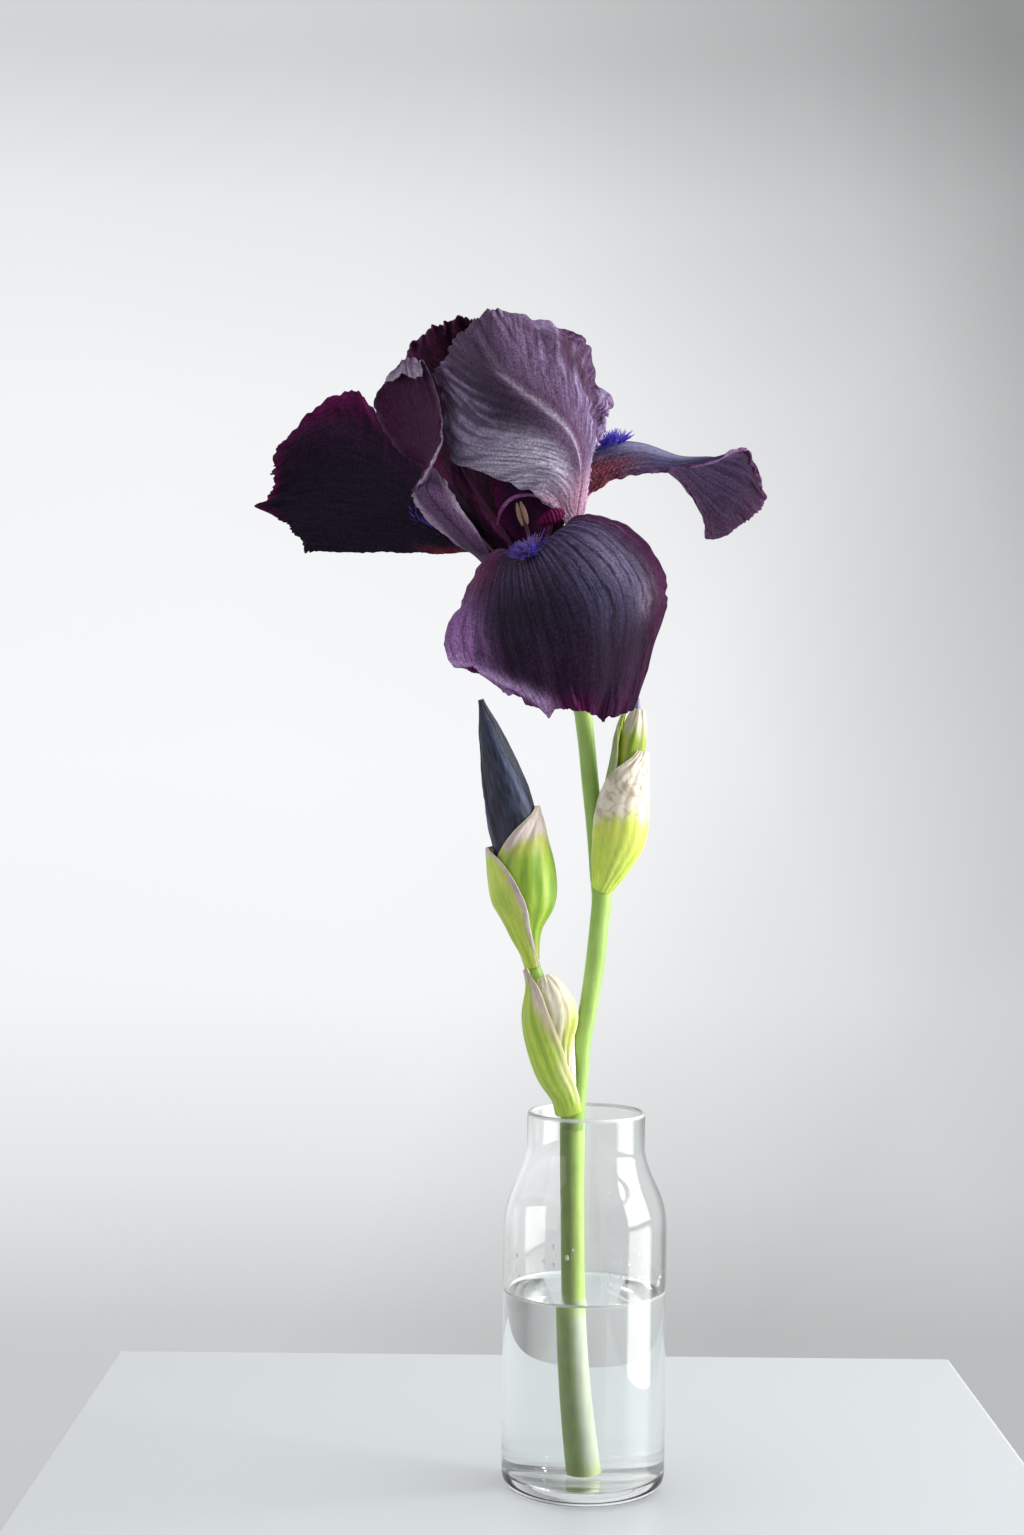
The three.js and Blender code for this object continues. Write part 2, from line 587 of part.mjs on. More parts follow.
// Stamens: a slim filament and an anther of two pollen sacs, one under each style arm
const stamens = {
  stamen_front: {
    filament: [[-18.4, -6.4, 282], [-18.8, -8.4, 287], [-19.5, -11.5, 295], [-20.6, -17, 302]],
    anther: [[-21, -20.8, 302.5], [-23.6, -20.6, 311]],
  },
  stamen_left: {
    filament: [[-21.2, -3, 280.9], [-23.6, -3.4, 287.5], [-28.5, -4, 294], [-35, -5.5, 301]],
    anther: [[-35.5, -5.6, 302], [-42.5, -6.5, 307]],
  },
  stamen_right: {
    filament: [[-14.8, -1.5, 282.6], [-13.7, -1, 289], [-11.9, 0, 298], [-8.8, 1.4, 309]],
    anther: [[-8.4, 1.6, 310], [-6.4, 2.8, 319.5]],
  },
};

function makeStamen({ filament, anther }) {
  const [low, high] = anther.map(vector);
  const reach = curveThrough([...filament, low.clone().lerp(high, 0.25).toArray()]);
  const thread = loft(reach, () => 0.6, { steps: 5, sides: 5 });
  const along = high.clone().sub(low).normalize();
  const outward = low.clone().sub(bloomBase).setZ(0);
  const side = along.clone().cross(outward).normalize();
  const sacs = [-0.75, 0.75].map((offset) => {
    const ends = [low, high].map((p) => p.clone().addScaledVector(side, offset).toArray());
    const middle = vector(ends[0]).lerp(vector(ends[1]), 0.5).toArray();
    const round = profile([0.45, 1, 1.05, 1, 0.45]);
    return loft(curveThrough([ends[0], middle, ends[1]]), (s) => round(s), { steps: 4, sides: 6 });
  });
  return fused([thread, ...sacs]);
}

// Beards: a low ridge along the rib of a fall, thick with short hairs
const beards = {
  beard_front: { fall: "fall_front", from: 0.155, to: 0.34, seed: 11 },
  beard_left: { fall: "fall_left", from: 0.2, to: 0.44, seed: 23 },
  beard_right: { fall: "fall_right", from: 0.28, to: 0.44, seed: 37 },
};

function hair(root, direction, length) {
  const cone = new THREE.ConeGeometry(HAIR_RADIUS, length, 3);
  cone.translate(0, length / 2, 0);
  const turn = new THREE.Quaternion().setFromUnitVectors(new THREE.Vector3(0, 1, 0), direction);
  return cone.applyQuaternion(turn).translate(root.x, root.y, root.z);
}

function makeBeard({ fall, from, to, seed }) {
  const surface = surfaceThrough(petals[fall]);
  const upward = upperSide[fall];
  const step = 0.02;
  const place = (s, t) => {
    const p = surface(s, t);
    const down = surface(s + step, t).sub(surface(s - step, t));
    const over = surface(s, t + step).sub(surface(s, t - step));
    return { p, normal: down.cross(over).normalize().multiplyScalar(upward) };
  };
  const ridgeHeight = PETAL_THICKNESS / 2 + CLEARANCE + 1.1;
  const spine = [];
  for (let k = 0; k <= 4; k++) {
    const { p, normal } = place(from + ((to - from) * k) / 4, 0.5);
    spine.push(p.addScaledVector(normal, ridgeHeight).toArray());
  }
  const bulge = profile([0.5, 1, 1, 1, 0.5]);
  const ridge = loft(curveThrough(spine), (s) => bulge(s), { steps: 6, sides: 6 });
  const draw = drawsFrom(seed);
  const hairs = [];
  const rows = 8;
  for (let k = 0; k < rows; k++) {
    for (const lean of [-1, -0.35, 0.35, 1]) {
      const s = from + ((to - from) * (k + 0.5 + 0.3 * draw())) / rows;
      const { p, normal } = place(s, 0.5);
      const over = surface(s, 0.5 + step).sub(surface(s, 0.5 - step)).normalize();
      const ahead = surface(s + step, 0.5).sub(surface(s - step, 0.5)).normalize();
      const direction = normal
        .clone()
        .addScaledVector(over, 0.8 * lean + 0.2 * draw())
        .addScaledVector(ahead, 0.25 * draw())
        .normalize();
      const root = p.clone().addScaledVector(normal, ridgeHeight);
      hairs.push(hair(root, direction, HAIR_LENGTH * (1 + 0.2 * draw())));
    }
  }
  return fused([ridge, ...hairs]);
}

// Which side of its rows each fall's upper face is on
const upperSide = { fall_front: 1, fall_left: 1, fall_right: 1 };

// Assembly
const finish = (color, roughness, extra = {}) =>
  new THREE.MeshStandardMaterial({ color, roughness, metalness: 0, ...extra });
const glass = finish(0xe8f1f0, 0.05, { transparent: true, opacity: 0.3 });
const water = finish(0xe4eeee, 0.03, { transparent: true, opacity: 0.25 });
const green = finish(0x86b64a, 0.5);
const lime = finish(0xb4cf4e, 0.5);
const papery = finish(0xd9d3b4, 0.7);
const plum = finish(0x33122f, 0.6);
const lilac = finish(0x77617a, 0.6);
const navy = finish(0x2a2b42, 0.5);
const wine = finish(0x4d1633, 0.55);
const violet = finish(0x4b38a8, 0.6);
const cream = finish(0xcaa183, 0.7);

const part = new THREE.Group();

function add(name, geometry, material) {
  const mesh = new THREE.Mesh(geometry, material);
  mesh.name = name;
  part.add(mesh);
}

add("vase", makeVase(), glass);
add("water", makeWater(), water);
add("stalk", makeStalk(), green);
add("flower_tube", makeFlowerTube(), green);
add("side_bud", makeSideBud(), navy);
add("side_bract_left", makeSideBractLeft(), lime);
add("side_bract_right", makeSideBractRight(), green);
add("lower_bract_left", makeLowerBractLeft(), lime);
add("lower_bract_right", makeLowerBractRight(), papery);
add("upper_sheath", makeUpperSheath(), lime);
add("upper_inner_bract", makeUpperInnerBract(), green);
add("small_bud_bract", makeSmallBudBract(), lime);
add("small_bud", makeSmallBud(), navy);
for (const name of ["fall_front", "fall_left", "fall_right"]) add(name, makePetal(name), plum);
for (const name of ["standard_front", "standard_left", "standard_back"]) {
  add(name, makePetal(name), lilac);
}
add("style", makeStyle(), wine);
for (const [name, pieces] of Object.entries(stamens)) add(name, makeStamen(pieces), cream);
for (const [name, pieces] of Object.entries(beards)) add(name, makeBeard(pieces), violet);

export default part;
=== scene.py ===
import math

import bpy
import numpy as np
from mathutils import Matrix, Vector


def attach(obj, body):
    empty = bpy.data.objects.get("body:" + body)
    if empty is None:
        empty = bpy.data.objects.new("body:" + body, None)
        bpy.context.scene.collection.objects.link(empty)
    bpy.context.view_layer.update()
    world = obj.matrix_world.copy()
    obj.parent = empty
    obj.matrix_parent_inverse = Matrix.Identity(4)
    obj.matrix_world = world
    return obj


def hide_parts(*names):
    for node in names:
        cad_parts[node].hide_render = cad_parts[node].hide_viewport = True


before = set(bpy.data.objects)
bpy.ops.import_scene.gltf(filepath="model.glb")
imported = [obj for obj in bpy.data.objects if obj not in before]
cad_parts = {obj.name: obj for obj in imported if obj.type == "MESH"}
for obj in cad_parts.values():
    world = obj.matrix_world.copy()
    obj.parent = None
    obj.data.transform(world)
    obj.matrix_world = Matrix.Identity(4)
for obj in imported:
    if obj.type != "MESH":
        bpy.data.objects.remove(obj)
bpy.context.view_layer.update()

# A flowering stalk of a dark bearded iris in a small glass bottle vase.
# Sizes are in millimetres up to the moment a piece is placed, and MM makes them metres.
MM = 0.001
TURN = 2 * math.pi

# The vase, its water and the table
VASE_HEIGHT = 119.5
BODY_RADIUS = 26
NECK_RADIUS = 18.8
FOOT_RADIUS = 20.5
GLASS_WALL = 1.5
GLASS_FLOOR = 4.6
SHOULDER_LOW = 82
SHOULDER_HIGH = 108
HEEL = 6
WATER_LEVEL = 62
OVERLAP = 0.08
TABLE_SIZE = (324, 900, 20)
TABLE_MIDDLE = (-14, -290, -10.05)

# The walls of the thin parts
PETAL_WALL = 0.42
BRACT_WALL = 0.45
ARM_WALL = 0.7

# How far the left valve stands outside the right one, and less at its foot,
# and how far the small bud's bract stands outside the bud
LAYER = 1.3
FOOT_LAYER = 0.65
BUD_LAYER = 0.95

# How far a vein runs towards the tip between the midrib and the margin
FEATHER = 0.42
CREST_STRIPES = 8
SAC_OFFSET = 0.86
HAIR_LENGTH = 3.6
FRONT = np.array([0.0, -1.0, 0.0])

# The camera
LENS_LENGTH = 52.77
SENSOR_WIDTH = 36
CAMERA_PLACE = (-24.8, -718, 228.8)
CAMERA_ROLL = -0.58


# Curves and surfaces through given points
def through(points, u, held=False):
    """The smooth run through evenly spaced points, or rows of them, at the places u from 0 to 1."""
    p = np.asarray(points, float)
    if held:
        ends = np.concatenate([p[:1], p, p[-1:]])
    else:
        ends = np.concatenate([[2 * p[0] - p[1]], p, [2 * p[-1] - p[-2]]])
    x = np.clip(np.atleast_1d(np.asarray(u, float)), 0, 1) * (len(p) - 1)
    i = np.minimum(x.astype(int), len(p) - 2)
    w = (x - i).reshape((-1,) + (1,) * (p.ndim - 1))
    a, b, c, d = (ends[i + k] for k in range(4))
    enter, leave = (c - a) / 2, (d - b) / 2
    return b + enter * w + (3 * (c - b) - 2 * enter - leave) * w**2 + (2 * (b - c) + enter + leave) * w**3


def profile(values):
    """A number that runs through evenly spaced values."""
    return lambda s: through(values, s, held=True).reshape(np.shape(s))


def evenly_round(*widths):
    """The radius of a spindle whose sections are circles, through evenly spaced widths."""
    width = profile(widths)
    return lambda s, angle: width(s)


def even_places(points, u):
    """Places on the curve through points whose spacing along the curve is as even as u's."""
    fine = np.linspace(0, 1, 401)
    steps = np.linalg.norm(np.diff(through(points, fine), axis=0), axis=1)
    run = np.concatenate([[0], np.cumsum(steps)])
    return np.interp(np.asarray(u) * run[-1], run, fine)


def directions(points, u):
    """Unit directions along the curve, and across it to the front and to the side."""
    run = through(points, np.clip(u + 1e-4, 0, 1)) - through(points, np.clip(u - 1e-4, 0, 1))
    ahead = run / np.linalg.norm(run, axis=1, keepdims=True)
    front = FRONT - ahead * (ahead @ FRONT)[:, None]
    front /= np.linalg.norm(front, axis=1, keepdims=True)
    return ahead, front, np.cross(ahead, front)


def petal_points(rows, along, across):
    """The surface through rows of points from a petal's base to its tip, as a grid."""
    rows = np.transpose(np.asarray(rows, float), (1, 0, 2))
    columns = np.transpose(through(rows, np.linspace(0, 1, across + 1)), (1, 0, 2))
    return through(columns, np.linspace(0, 1, along + 1))


def wrapped_points(spine, radius_at, first_turns, last_turns, along, across, low=0.0, high=1.0):
    """A surface that wraps round a spindle from low to high on its spine.

    At each height it turns from one angle to another. 0 degrees faces the front and 90 the right."""
    s = np.linspace(0, 1, along + 1)
    at = low + (high - low) * s
    centre = through(spine, at)
    _, front, side = directions(spine, at)
    first, last = profile(first_turns)(s), profile(last_turns)(s)
    angle = np.radians(first[:, None] + (last - first)[:, None] * np.linspace(0, 1, across + 1))
    reach = radius_at(at)[:, None, None]
    return (
        centre[:, None]
        + front[:, None] * reach * np.cos(angle)[..., None]
        + side[:, None] * reach * np.sin(angle)[..., None]
    )


def with_midrib(points, shift):
    """The same surface, its lines slid sideways so that the midrib runs where the shift along s puts it."""
    across = np.linspace(0, 1, points.shape[1])
    slid = np.empty_like(points)
    for row, side_step in enumerate(shift(np.linspace(0, 1, points.shape[0]))):
        places = across + side_step * 4 * across * (1 - across)
        for axis in range(3):
            slid[row, :, axis] = np.interp(places, across, points[row, :, axis])
    return slid


def unit(vectors):
    """The vectors of a grid, each made 1 long."""
    return vectors / np.maximum(np.linalg.norm(vectors, axis=2, keepdims=True), 1e-9)


def surface_normals(points):
    return unit(np.cross(np.gradient(points, axis=0), np.gradient(points, axis=1)))


def raised(points, lift):
    """Moves each point of a surface along its own normal."""
    return points + surface_normals(points) * lift[..., None]


def grid_places(points):
    """s from base to tip and t from margin to margin, for each point of a grid."""
    along, across = points.shape[0], points.shape[1]
    return np.meshgrid(np.linspace(0, 1, along), np.linspace(0, 1, across), indexing="ij")


# Soft steps, bumps and unevenness, and colours
def ease(x, low, high):
    """A soft step from 0 at low to 1 at high."""
    x = np.clip((x - low) / (high - low), 0, 1)
    return x * x * (3 - 2 * x)


def bump(x, middle, width):
    """A soft bump, 1 high, round a middle."""
    return np.exp(-(((x - middle) / width) ** 2))


def side_of(t):
    """How far a place is from the midrib, from 0 on it to 1 on either margin."""
    return np.abs(2 * t - 1)


def ripple(x, y, seed, octaves=4):
    """Soft repeatable unevenness between about -1 and 1."""
    draw = np.random.default_rng(seed)
    total = np.zeros(np.broadcast(x, y).shape)
    for k in range(octaves):
        for _ in range(3):
            turn = draw.uniform(0, TURN)
            wave = TURN * 1.7**k * draw.uniform(0.7, 1.3)
            total += 0.62**k * np.sin(wave * (x * math.cos(turn) + y * math.sin(turn)) + draw.uniform(0, 9))
    return total / 3.2


def streaks(t, s, count, seed, least=0.0):
    """Uneven stripes that run from base to tip, between least and 1."""
    return least + (1 - least) * np.clip(0.5 + 0.6 * ripple(t * count, s * 1.3, seed, 3), 0, 1)


def colour_of(hex_code):
    """A colour given as sRGB hex, in linear light."""
    c = np.array([int(hex_code[k : k + 2], 16) / 255 for k in (0, 2, 4)])
    return np.where(c <= 0.04045, c / 12.92, ((c + 0.055) / 1.055) ** 2.4)


def mixed(a, b, share):
    """Colour a with colour b's share of it, from 0 to 1, at each point."""
    share = np.asarray(share)[..., None]
    return a * (1 - share) + b * share


# Making pieces
def pick(piece):
    """Selects one piece alone and makes it the active one."""
    bpy.ops.object.select_all(action="DESELECT")
    piece.select_set(True)
    bpy.context.view_layer.objects.active = piece


def named(name):
    """The piece that was just added, under its own name."""
    piece = bpy.context.active_object
    piece.name = piece.data.name = name
    return piece


def shape(piece, places):
    """Moves the piece's vertices to places in millimetres."""
    piece.data.vertices.foreach_set("co", (np.asarray(places) * MM).astype(np.float32).ravel())
    piece.data.update()


def corners(piece):
    """The places of the piece's vertices, as they are."""
    co = np.zeros(len(piece.data.vertices) * 3, np.float32)
    piece.data.vertices.foreach_get("co", co)
    return co.reshape(-1, 3).astype(float)


def finish_modifier(piece, kind, **settings):
    """Adds a modifier to the piece and applies it."""
    pick(piece)
    added = piece.modifiers.new(kind.lower(), kind)
    for key, value in settings.items():
        setattr(added, key, value)
    bpy.ops.object.modifier_apply(modifier=added.name)


def tint(piece, colours):
    """Gives each vertex its own colour, which the material reads."""
    layer = piece.data.color_attributes.new("tint", "FLOAT_COLOR", "POINT")
    rgba = np.ones((len(piece.data.vertices), 4), np.float32)
    rgba[:, :3] = colours
    layer.data.foreach_set("color", rgba.ravel())


def turn_faces_out(merge=True):
    """Merges the active piece's doubled vertices, where asked, and turns its faces outwards."""
    bpy.ops.object.mode_set(mode="EDIT")
    bpy.ops.mesh.select_all(action="SELECT")
    if merge:
        bpy.ops.mesh.remove_doubles(threshold=1e-6)
    bpy.ops.mesh.normals_make_consistent(inside=False)
    bpy.ops.object.mode_set(mode="OBJECT")


def joined(name, parts):
    """One piece made of several."""
    pick(parts[0])
    for part in parts:
        part.select_set(True)
    bpy.ops.object.join()
    parts[0].name = parts[0].data.name = name
    return parts[0]


def seat(piece, slot, *nodes):
    """The piece rides on the one body and stands for its nodes. The slot is not used."""
    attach(piece, "root")
    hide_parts(*nodes)
    return piece


def grid_steps(flat, along, across):
    """Which step along and across each vertex of a flat grid is at."""
    return np.rint((flat[:, :2] + 1) / 2 * (along, across)).astype(int).T


def blade(name, points, wall, face_colours, finish, flow=None):
    """A thin closed blade: a grid primitive shaped over the points, then given its wall.

    flow gives the places along and across the veins, which go into the piece's UV map."""
    along, across = points.shape[0] - 1, points.shape[1] - 1
    bpy.ops.object.select_all(action="DESELECT")
    bpy.ops.mesh.primitive_grid_add(x_subdivisions=along, y_subdivisions=across, size=2)
    piece = named(name)
    i, j = grid_steps(corners(piece), along, across)
    shape(piece, points[i, j])
    if flow:
        ends = np.zeros(len(piece.data.loops), np.int32)
        piece.data.loops.foreach_get("vertex_index", ends)
        places = np.stack([f[i, j][ends] for f in flow], axis=1)
        piece.data.uv_layers.active.data.foreach_set("uv", places.astype(np.float32).ravel())
    finish_modifier(piece, "SOLIDIFY", thickness=wall * MM, offset=0, use_quality_normals=True)
    tint(piece, np.concatenate([np.broadcast_to(c, points.shape)[i, j] for c in face_colours]))
    piece.data.materials.append(finish)
    pick(piece)
    bpy.ops.object.shade_smooth()
    return piece


def spindle(name, spine, radius_at, steps, sides, finish, colour_at):
    """A closed round piece along a curve: a grid primitive rolled round it and drawn in at its ends."""
    bpy.ops.object.select_all(action="DESELECT")
    bpy.ops.mesh.primitive_grid_add(x_subdivisions=steps + 2, y_subdivisions=sides, size=2)
    piece = named(name)
    flat = corners(piece)
    ring, _ = grid_steps(flat, steps + 2, sides)
    s = np.clip((ring - 1) / steps, 0, 1)
    angle = math.pi * (1 - flat[:, 1])
    open_end = (ring > 0) & (ring < steps + 2)
    at = even_places(spine, s)
    _, front, side = directions(spine, at)
    reach = (radius_at(s, angle) * open_end)[:, None]
    turn = angle[:, None]
    shape(piece, through(spine, at) + front * reach * np.cos(turn) + side * reach * np.sin(turn))
    tint(piece, colour_at(s, angle))
    piece.data.materials.append(finish)
    pick(piece)
    turn_faces_out()
    bpy.ops.object.shade_smooth_by_angle(angle=math.radians(50))
    return piece


def bend(start, *parts):
    """An outline of radius and height: each part is a point, or the further points of a curve."""
    outline = [np.array(start, float)]
    for part in parts:
        knots = [outline[-1], *[np.array(p, float) for p in part]]
        steps = 1 if len(knots) == 2 else 14
        for k in range(1, steps + 1):
            row = knots
            while len(row) > 1:
                row = [a + (b - a) * (k / steps) for a, b in zip(row, row[1:])]
            outline.append(row[0])
    return outline


def turned(name, outline, finish):
    """A round piece: an outline drawn by extruding one point, spun about the vertical axis."""
    bpy.ops.object.select_all(action="DESELECT")
    bpy.ops.mesh.primitive_plane_add(size=1)
    piece = named(name)
    bpy.ops.object.mode_set(mode="EDIT")
    bpy.ops.mesh.select_all(action="SELECT")
    bpy.ops.mesh.merge(type="CENTER")
    bpy.ops.transform.translate(value=(outline[0][0] * MM, 0, outline[0][1] * MM))
    for a, b in zip(outline, outline[1:]):
        step = (b - a) * MM
        bpy.ops.mesh.extrude_region_move(TRANSFORM_OT_translate={"value": (step[0], 0, step[1])})
    bpy.ops.mesh.select_all(action="SELECT")
    bpy.ops.mesh.spin(steps=120, angle=TURN, center=(0, 0, 0), axis=(0, 0, 1))
    turn_faces_out()
    piece.data.materials.append(finish)
    bpy.ops.object.shade_smooth_by_angle(angle=math.radians(40))
    return piece


# Rows of points from margin to margin, and from the claw to the tip
PETALS = {
  # hangs down in front, its upper face to the viewer
  "fall_front": [
    [[-19.4, -7.9, 281.7], [-18.8, -8.2, 281.8], [-18, -8.4, 282], [-17, -8.2, 282.2], [-16, -7.5, 282.4]],
    [[-26.2, -13.4, 296], [-24, -15.5, 293], [-20, -16.5, 292], [-15.5, -16, 295], [-12, -14.6, 299]],
    [[-34, -16, 294], [-27, -24, 292], [-20, -29, 294], [-12, -26, 301], [-4.5, -20, 307]],
    [[-40, -24, 283], [-29, -36, 283], [-17, -43, 285], [-3, -39, 295], [10, -25, 302.8]],
    [[-45, -34, 271], [-29, -45, 271], [-13, -51, 274], [6, -46, 282], [21, -29, 290]],
    [[-44, -43, 261], [-27, -51, 261], [-10, -55, 264], [7, -50, 268], [22.4, -33, 280]],
    [[-39, -45, 258], [-23, -53, 253], [-8, -56, 254], [6, -52, 257], [17, -41, 265]],
    [[-29, -48, 254], [-18, -52, 247], [-6, -54, 246], [3, -52, 244], [10.4, -45, 246]],
  ],
  # stands out to the left, its upper face turned to the viewer
  "fall_left": [
    [[-22.2, -1.2, 280], [-22.9, -1.6, 280], [-23.2, -2.2, 280], [-23.1, -2.9, 280], [-22.6, -3.6, 280]],
    [[-36, 2, 306], [-38, -4, 301], [-38, -7, 298], [-37, -7, 296.5], [-35, -6, 295.5]],
    [[-50.5, 11.5, 327], [-51, 1, 311], [-50, -5, 304], [-49, -7, 299], [-47, -7, 296]],
    [[-63, 15, 338], [-63, 9, 325], [-63, 2, 311], [-62, -3, 302], [-60, -5, 296.5]],
    [[-78, 17, 350], [-79, 13, 332], [-79, 6, 314], [-77, 0, 303], [-75, -3, 297]],
    [[-91, 15, 344], [-93, 11, 329], [-93, 6, 314], [-90, 1, 304], [-86, -2, 297]],
    [[-102.5, 10, 332], [-103, 8, 322], [-108.5, 5, 312], [-96.5, 2, 305], [-90.5, 0, 296.5]],
  ],
  # reaches out to the right and back as a saddle, then drops
  "fall_right": [
    [[-13.2, -3, 282.9], [-12.8, -2, 282.9], [-12.6, -1, 282.9], [-12.8, 0, 282.8], [-13.2, 1, 282.7]],
    [[-8, -5.5, 298], [-7.5, -3.5, 301], [-7, 0, 303], [-7.5, 3.5, 301], [-8, 6, 298]],
    [[-4, -3, 313], [-2.5, -3.5, 321], [-1.5, 2, 328], [-1, 8, 324], [-2, 10, 315]],
    [[4, 0, 319], [4.5, -0.5, 326], [5, 6, 333.5], [5, 12, 329], [4, 15, 321]],
    [[14.5, 4, 323], [15, 5, 329], [16, 13, 334.5], [16, 21, 333], [15, 27, 328]],
    [[27.5, 10, 325.5], [28, 13, 328.5], [29, 23, 332], [29, 34, 331.5], [28, 41, 329]],
    [[39, 12, 328.5], [39.5, 17, 330.5], [40, 27, 331], [39.5, 37, 323], [38.5, 43, 315.5]],
    [[48.5, 16, 334], [51, 20, 332], [52, 29, 326], [48, 37, 317], [40, 42, 306.5]],
    [[51, 19, 332], [55.5, 23, 325], [58, 28, 317.5], [53.5, 34, 312.5], [46.5, 39, 307.5]],
  ],
  # arches over the flower's heart from the front right, its back to the viewer
  "standard_front": [
    [[-14.4, -7.4, 283], [-13.7, -6.8, 283], [-13.2, -6.1, 283], [-12.9, -5.3, 283], [-12.8, -4.5, 283]],
    [[-9, -11.6, 303], [-8, -12.4, 303], [-6.5, -12.4, 304], [-5, -11.6, 305], [-4.4, -9.6, 305]],
    [[-12, -15, 309], [-9, -17, 310], [-5, -17.4, 311.5], [-3.4, -16, 312.5], [-2.2, -13, 313]],
    [[-20, -24, 315], [-12, -29, 317], [-5, -26, 319], [-2, -21, 323], [0, -13, 329]],
    [[-29, -23, 318], [-19, -33, 322], [-9, -33, 327], [-3, -26, 332], [1.8, -13, 337]],
    [[-45, -19, 325], [-33, -34, 330], [-19, -38, 336], [-6, -31, 342], [3, -14, 344]],
    [[-47, -11, 342], [-39, -27, 344], [-30, -34, 349], [-14, -29, 355], [1, -13, 356.5]],
    [[-50, -7, 353], [-46, -15, 359], [-37, -21, 368], [-25, -19, 370], [-4.5, -12, 364]],
  ],
  # rises at the front left and twists, so that its inner face shows above
  "standard_left": [
    [[-22.6, -4.8, 280.5], [-22.4, -5.6, 280.5], [-22, -6.3, 280.5], [-21.7, -6.7, 281], [-21.3, -7, 281]],
    [[-36, -12, 294], [-35, -13, 293.6], [-34, -13.6, 293.6], [-33, -14, 294], [-32, -14, 295]],
    [[-43, -20, 298], [-42, -22, 299], [-40, -24, 300], [-38.5, -24, 302], [-37, -22, 303]],
    [[-51, -22, 305], [-49, -26, 306], [-47, -29, 307], [-44, -29, 308], [-42, -26, 309]],
    [[-56, -23, 312], [-55, -27, 313], [-52, -29, 314], [-48, -25, 315], [-46, -18, 316]],
    [[-53, -31, 317], [-52, -26, 318], [-51, -19, 320], [-50, -10, 322], [-52, -2, 324]],
    [[-47, -32, 326], [-50, -22, 327], [-54, -12, 329], [-58, -3, 330], [-61, 4, 330]],
    [[-47, -27, 334], [-51, -18, 336], [-56, -7, 338], [-62, 3, 340], [-67, 8, 338]],
    [[-49, -20, 343], [-54, -11, 346], [-60, -2, 349], [-66, 4, 349], [-70.5, 8, 346]],
    [[-54, -16, 355], [-58, -10, 357], [-61, -5, 357], [-64, 0, 355], [-66, 4, 353]],
    [[-54, -21, 350], [-57, -16, 350], [-60, -11, 352], [-63, -5, 352], [-66.5, -1, 351]],
  ],
  # closes the dome at the back, its inner face to the viewer
  "standard_back": [
    [[-20, 1.4, 281], [-19, 1.9, 281.1], [-18, 2.1, 281.2], [-17, 1.9, 281.4], [-16, 1.4, 281.8]],
    [[-31, 6, 291], [-25, 8, 290], [-20, 9, 289], [-15.5, 8, 290], [-12.5, 6.5, 291]],
    [[-42, 10, 305], [-33, 13, 303], [-22, 15, 302], [-14, 12.5, 303], [-9.5, 9.5, 305]],
    [[-49, 16, 319], [-38, 20, 317], [-24, 23, 317], [-13, 20, 317], [-6.5, 15, 319]],
    [[-53, 20, 333], [-39, 28, 335], [-26, 31, 337], [-14, 27, 335], [-4, 19, 332]],
    [[-59, 20, 346], [-47, 29, 351], [-32, 33, 355], [-15, 28, 352], [-1, 19, 346]],
    [[-61.5, 15, 356], [-53, 24, 364], [-38, 28, 368], [-20, 24, 366], [-4, 15, 358]],
    [[-60, 11, 363], [-53, 14, 371.5], [-42, 16, 375], [-29, 15, 373], [-13, 11, 366]],
  ],
}

STYLE_ARMS = [
  [
    [[-20, -5.5, 289], [-19, -6, 289], [-18.3, -6.2, 289], [-17.5, -6, 289], [-16.5, -5.5, 289]],
    [[-23, -8.5, 299], [-21, -10, 300], [-19, -10.6, 300.5], [-17, -10, 300], [-15, -8.5, 299]],
    [[-29, -12, 306], [-23, -14.5, 309], [-20, -15.5, 309.5], [-17, -14.5, 309], [-14, -12.5, 307]],
    [[-30.5, -14.5, 311], [-24, -18, 314], [-20.5, -18.5, 314], [-17, -18, 314], [-13.5, -16.5, 312]],
    [[-32, -16, 317.5], [-25, -19, 324], [-20.5, -18.5, 317], [-16, -19, 324], [-12.5, -18, 319]],
  ],
  [
    [[-20, -5, 289], [-20.6, -4.2, 289], [-20.8, -3.4, 289], [-20.6, -2.5, 289], [-20, -1.7, 289]],
    [[-24, -8.5, 295], [-26, -7, 299.5], [-26.3, -4, 301], [-26, -2, 300], [-25, 0, 298.5]],
    [[-30, -10.5, 302], [-32, -8.2, 308], [-32.4, -4, 310], [-32, -1, 308.5], [-31, 2, 306.5]],
    [[-35, -11, 308], [-37, -8.2, 315], [-37.5, -4, 317], [-37, -1, 316], [-36, 2.5, 313.5]],
    [[-42, -8, 320], [-43, -6.5, 325], [-40, -4, 319], [-43, -1, 325], [-42, 3, 320]],
  ],
  [
    [[-16.6, -5, 289], [-15.8, -4, 289], [-15.4, -2.8, 289], [-15.6, -1.6, 289], [-16.4, -0.8, 289]],
    [[-15.5, -5, 301], [-14.3, -3, 301.5], [-13.8, -0.5, 302], [-14.3, 2, 301.5], [-15.5, 4, 301]],
    [[-12.5, -5, 312], [-11.2, -2, 313], [-10.5, 1, 313.5], [-11.2, 4.5, 313], [-13, 7, 312]],
    [[-10.5, -4.5, 320], [-9.2, -1.5, 321], [-8.5, 2, 321.5], [-9.2, 6, 321], [-11, 9, 320]],
    [[-9.5, -4.5, 326], [-8, -1.5, 331], [-7, 2.5, 325], [-8, 7, 331], [-9.5, 11, 326]],
  ],
]

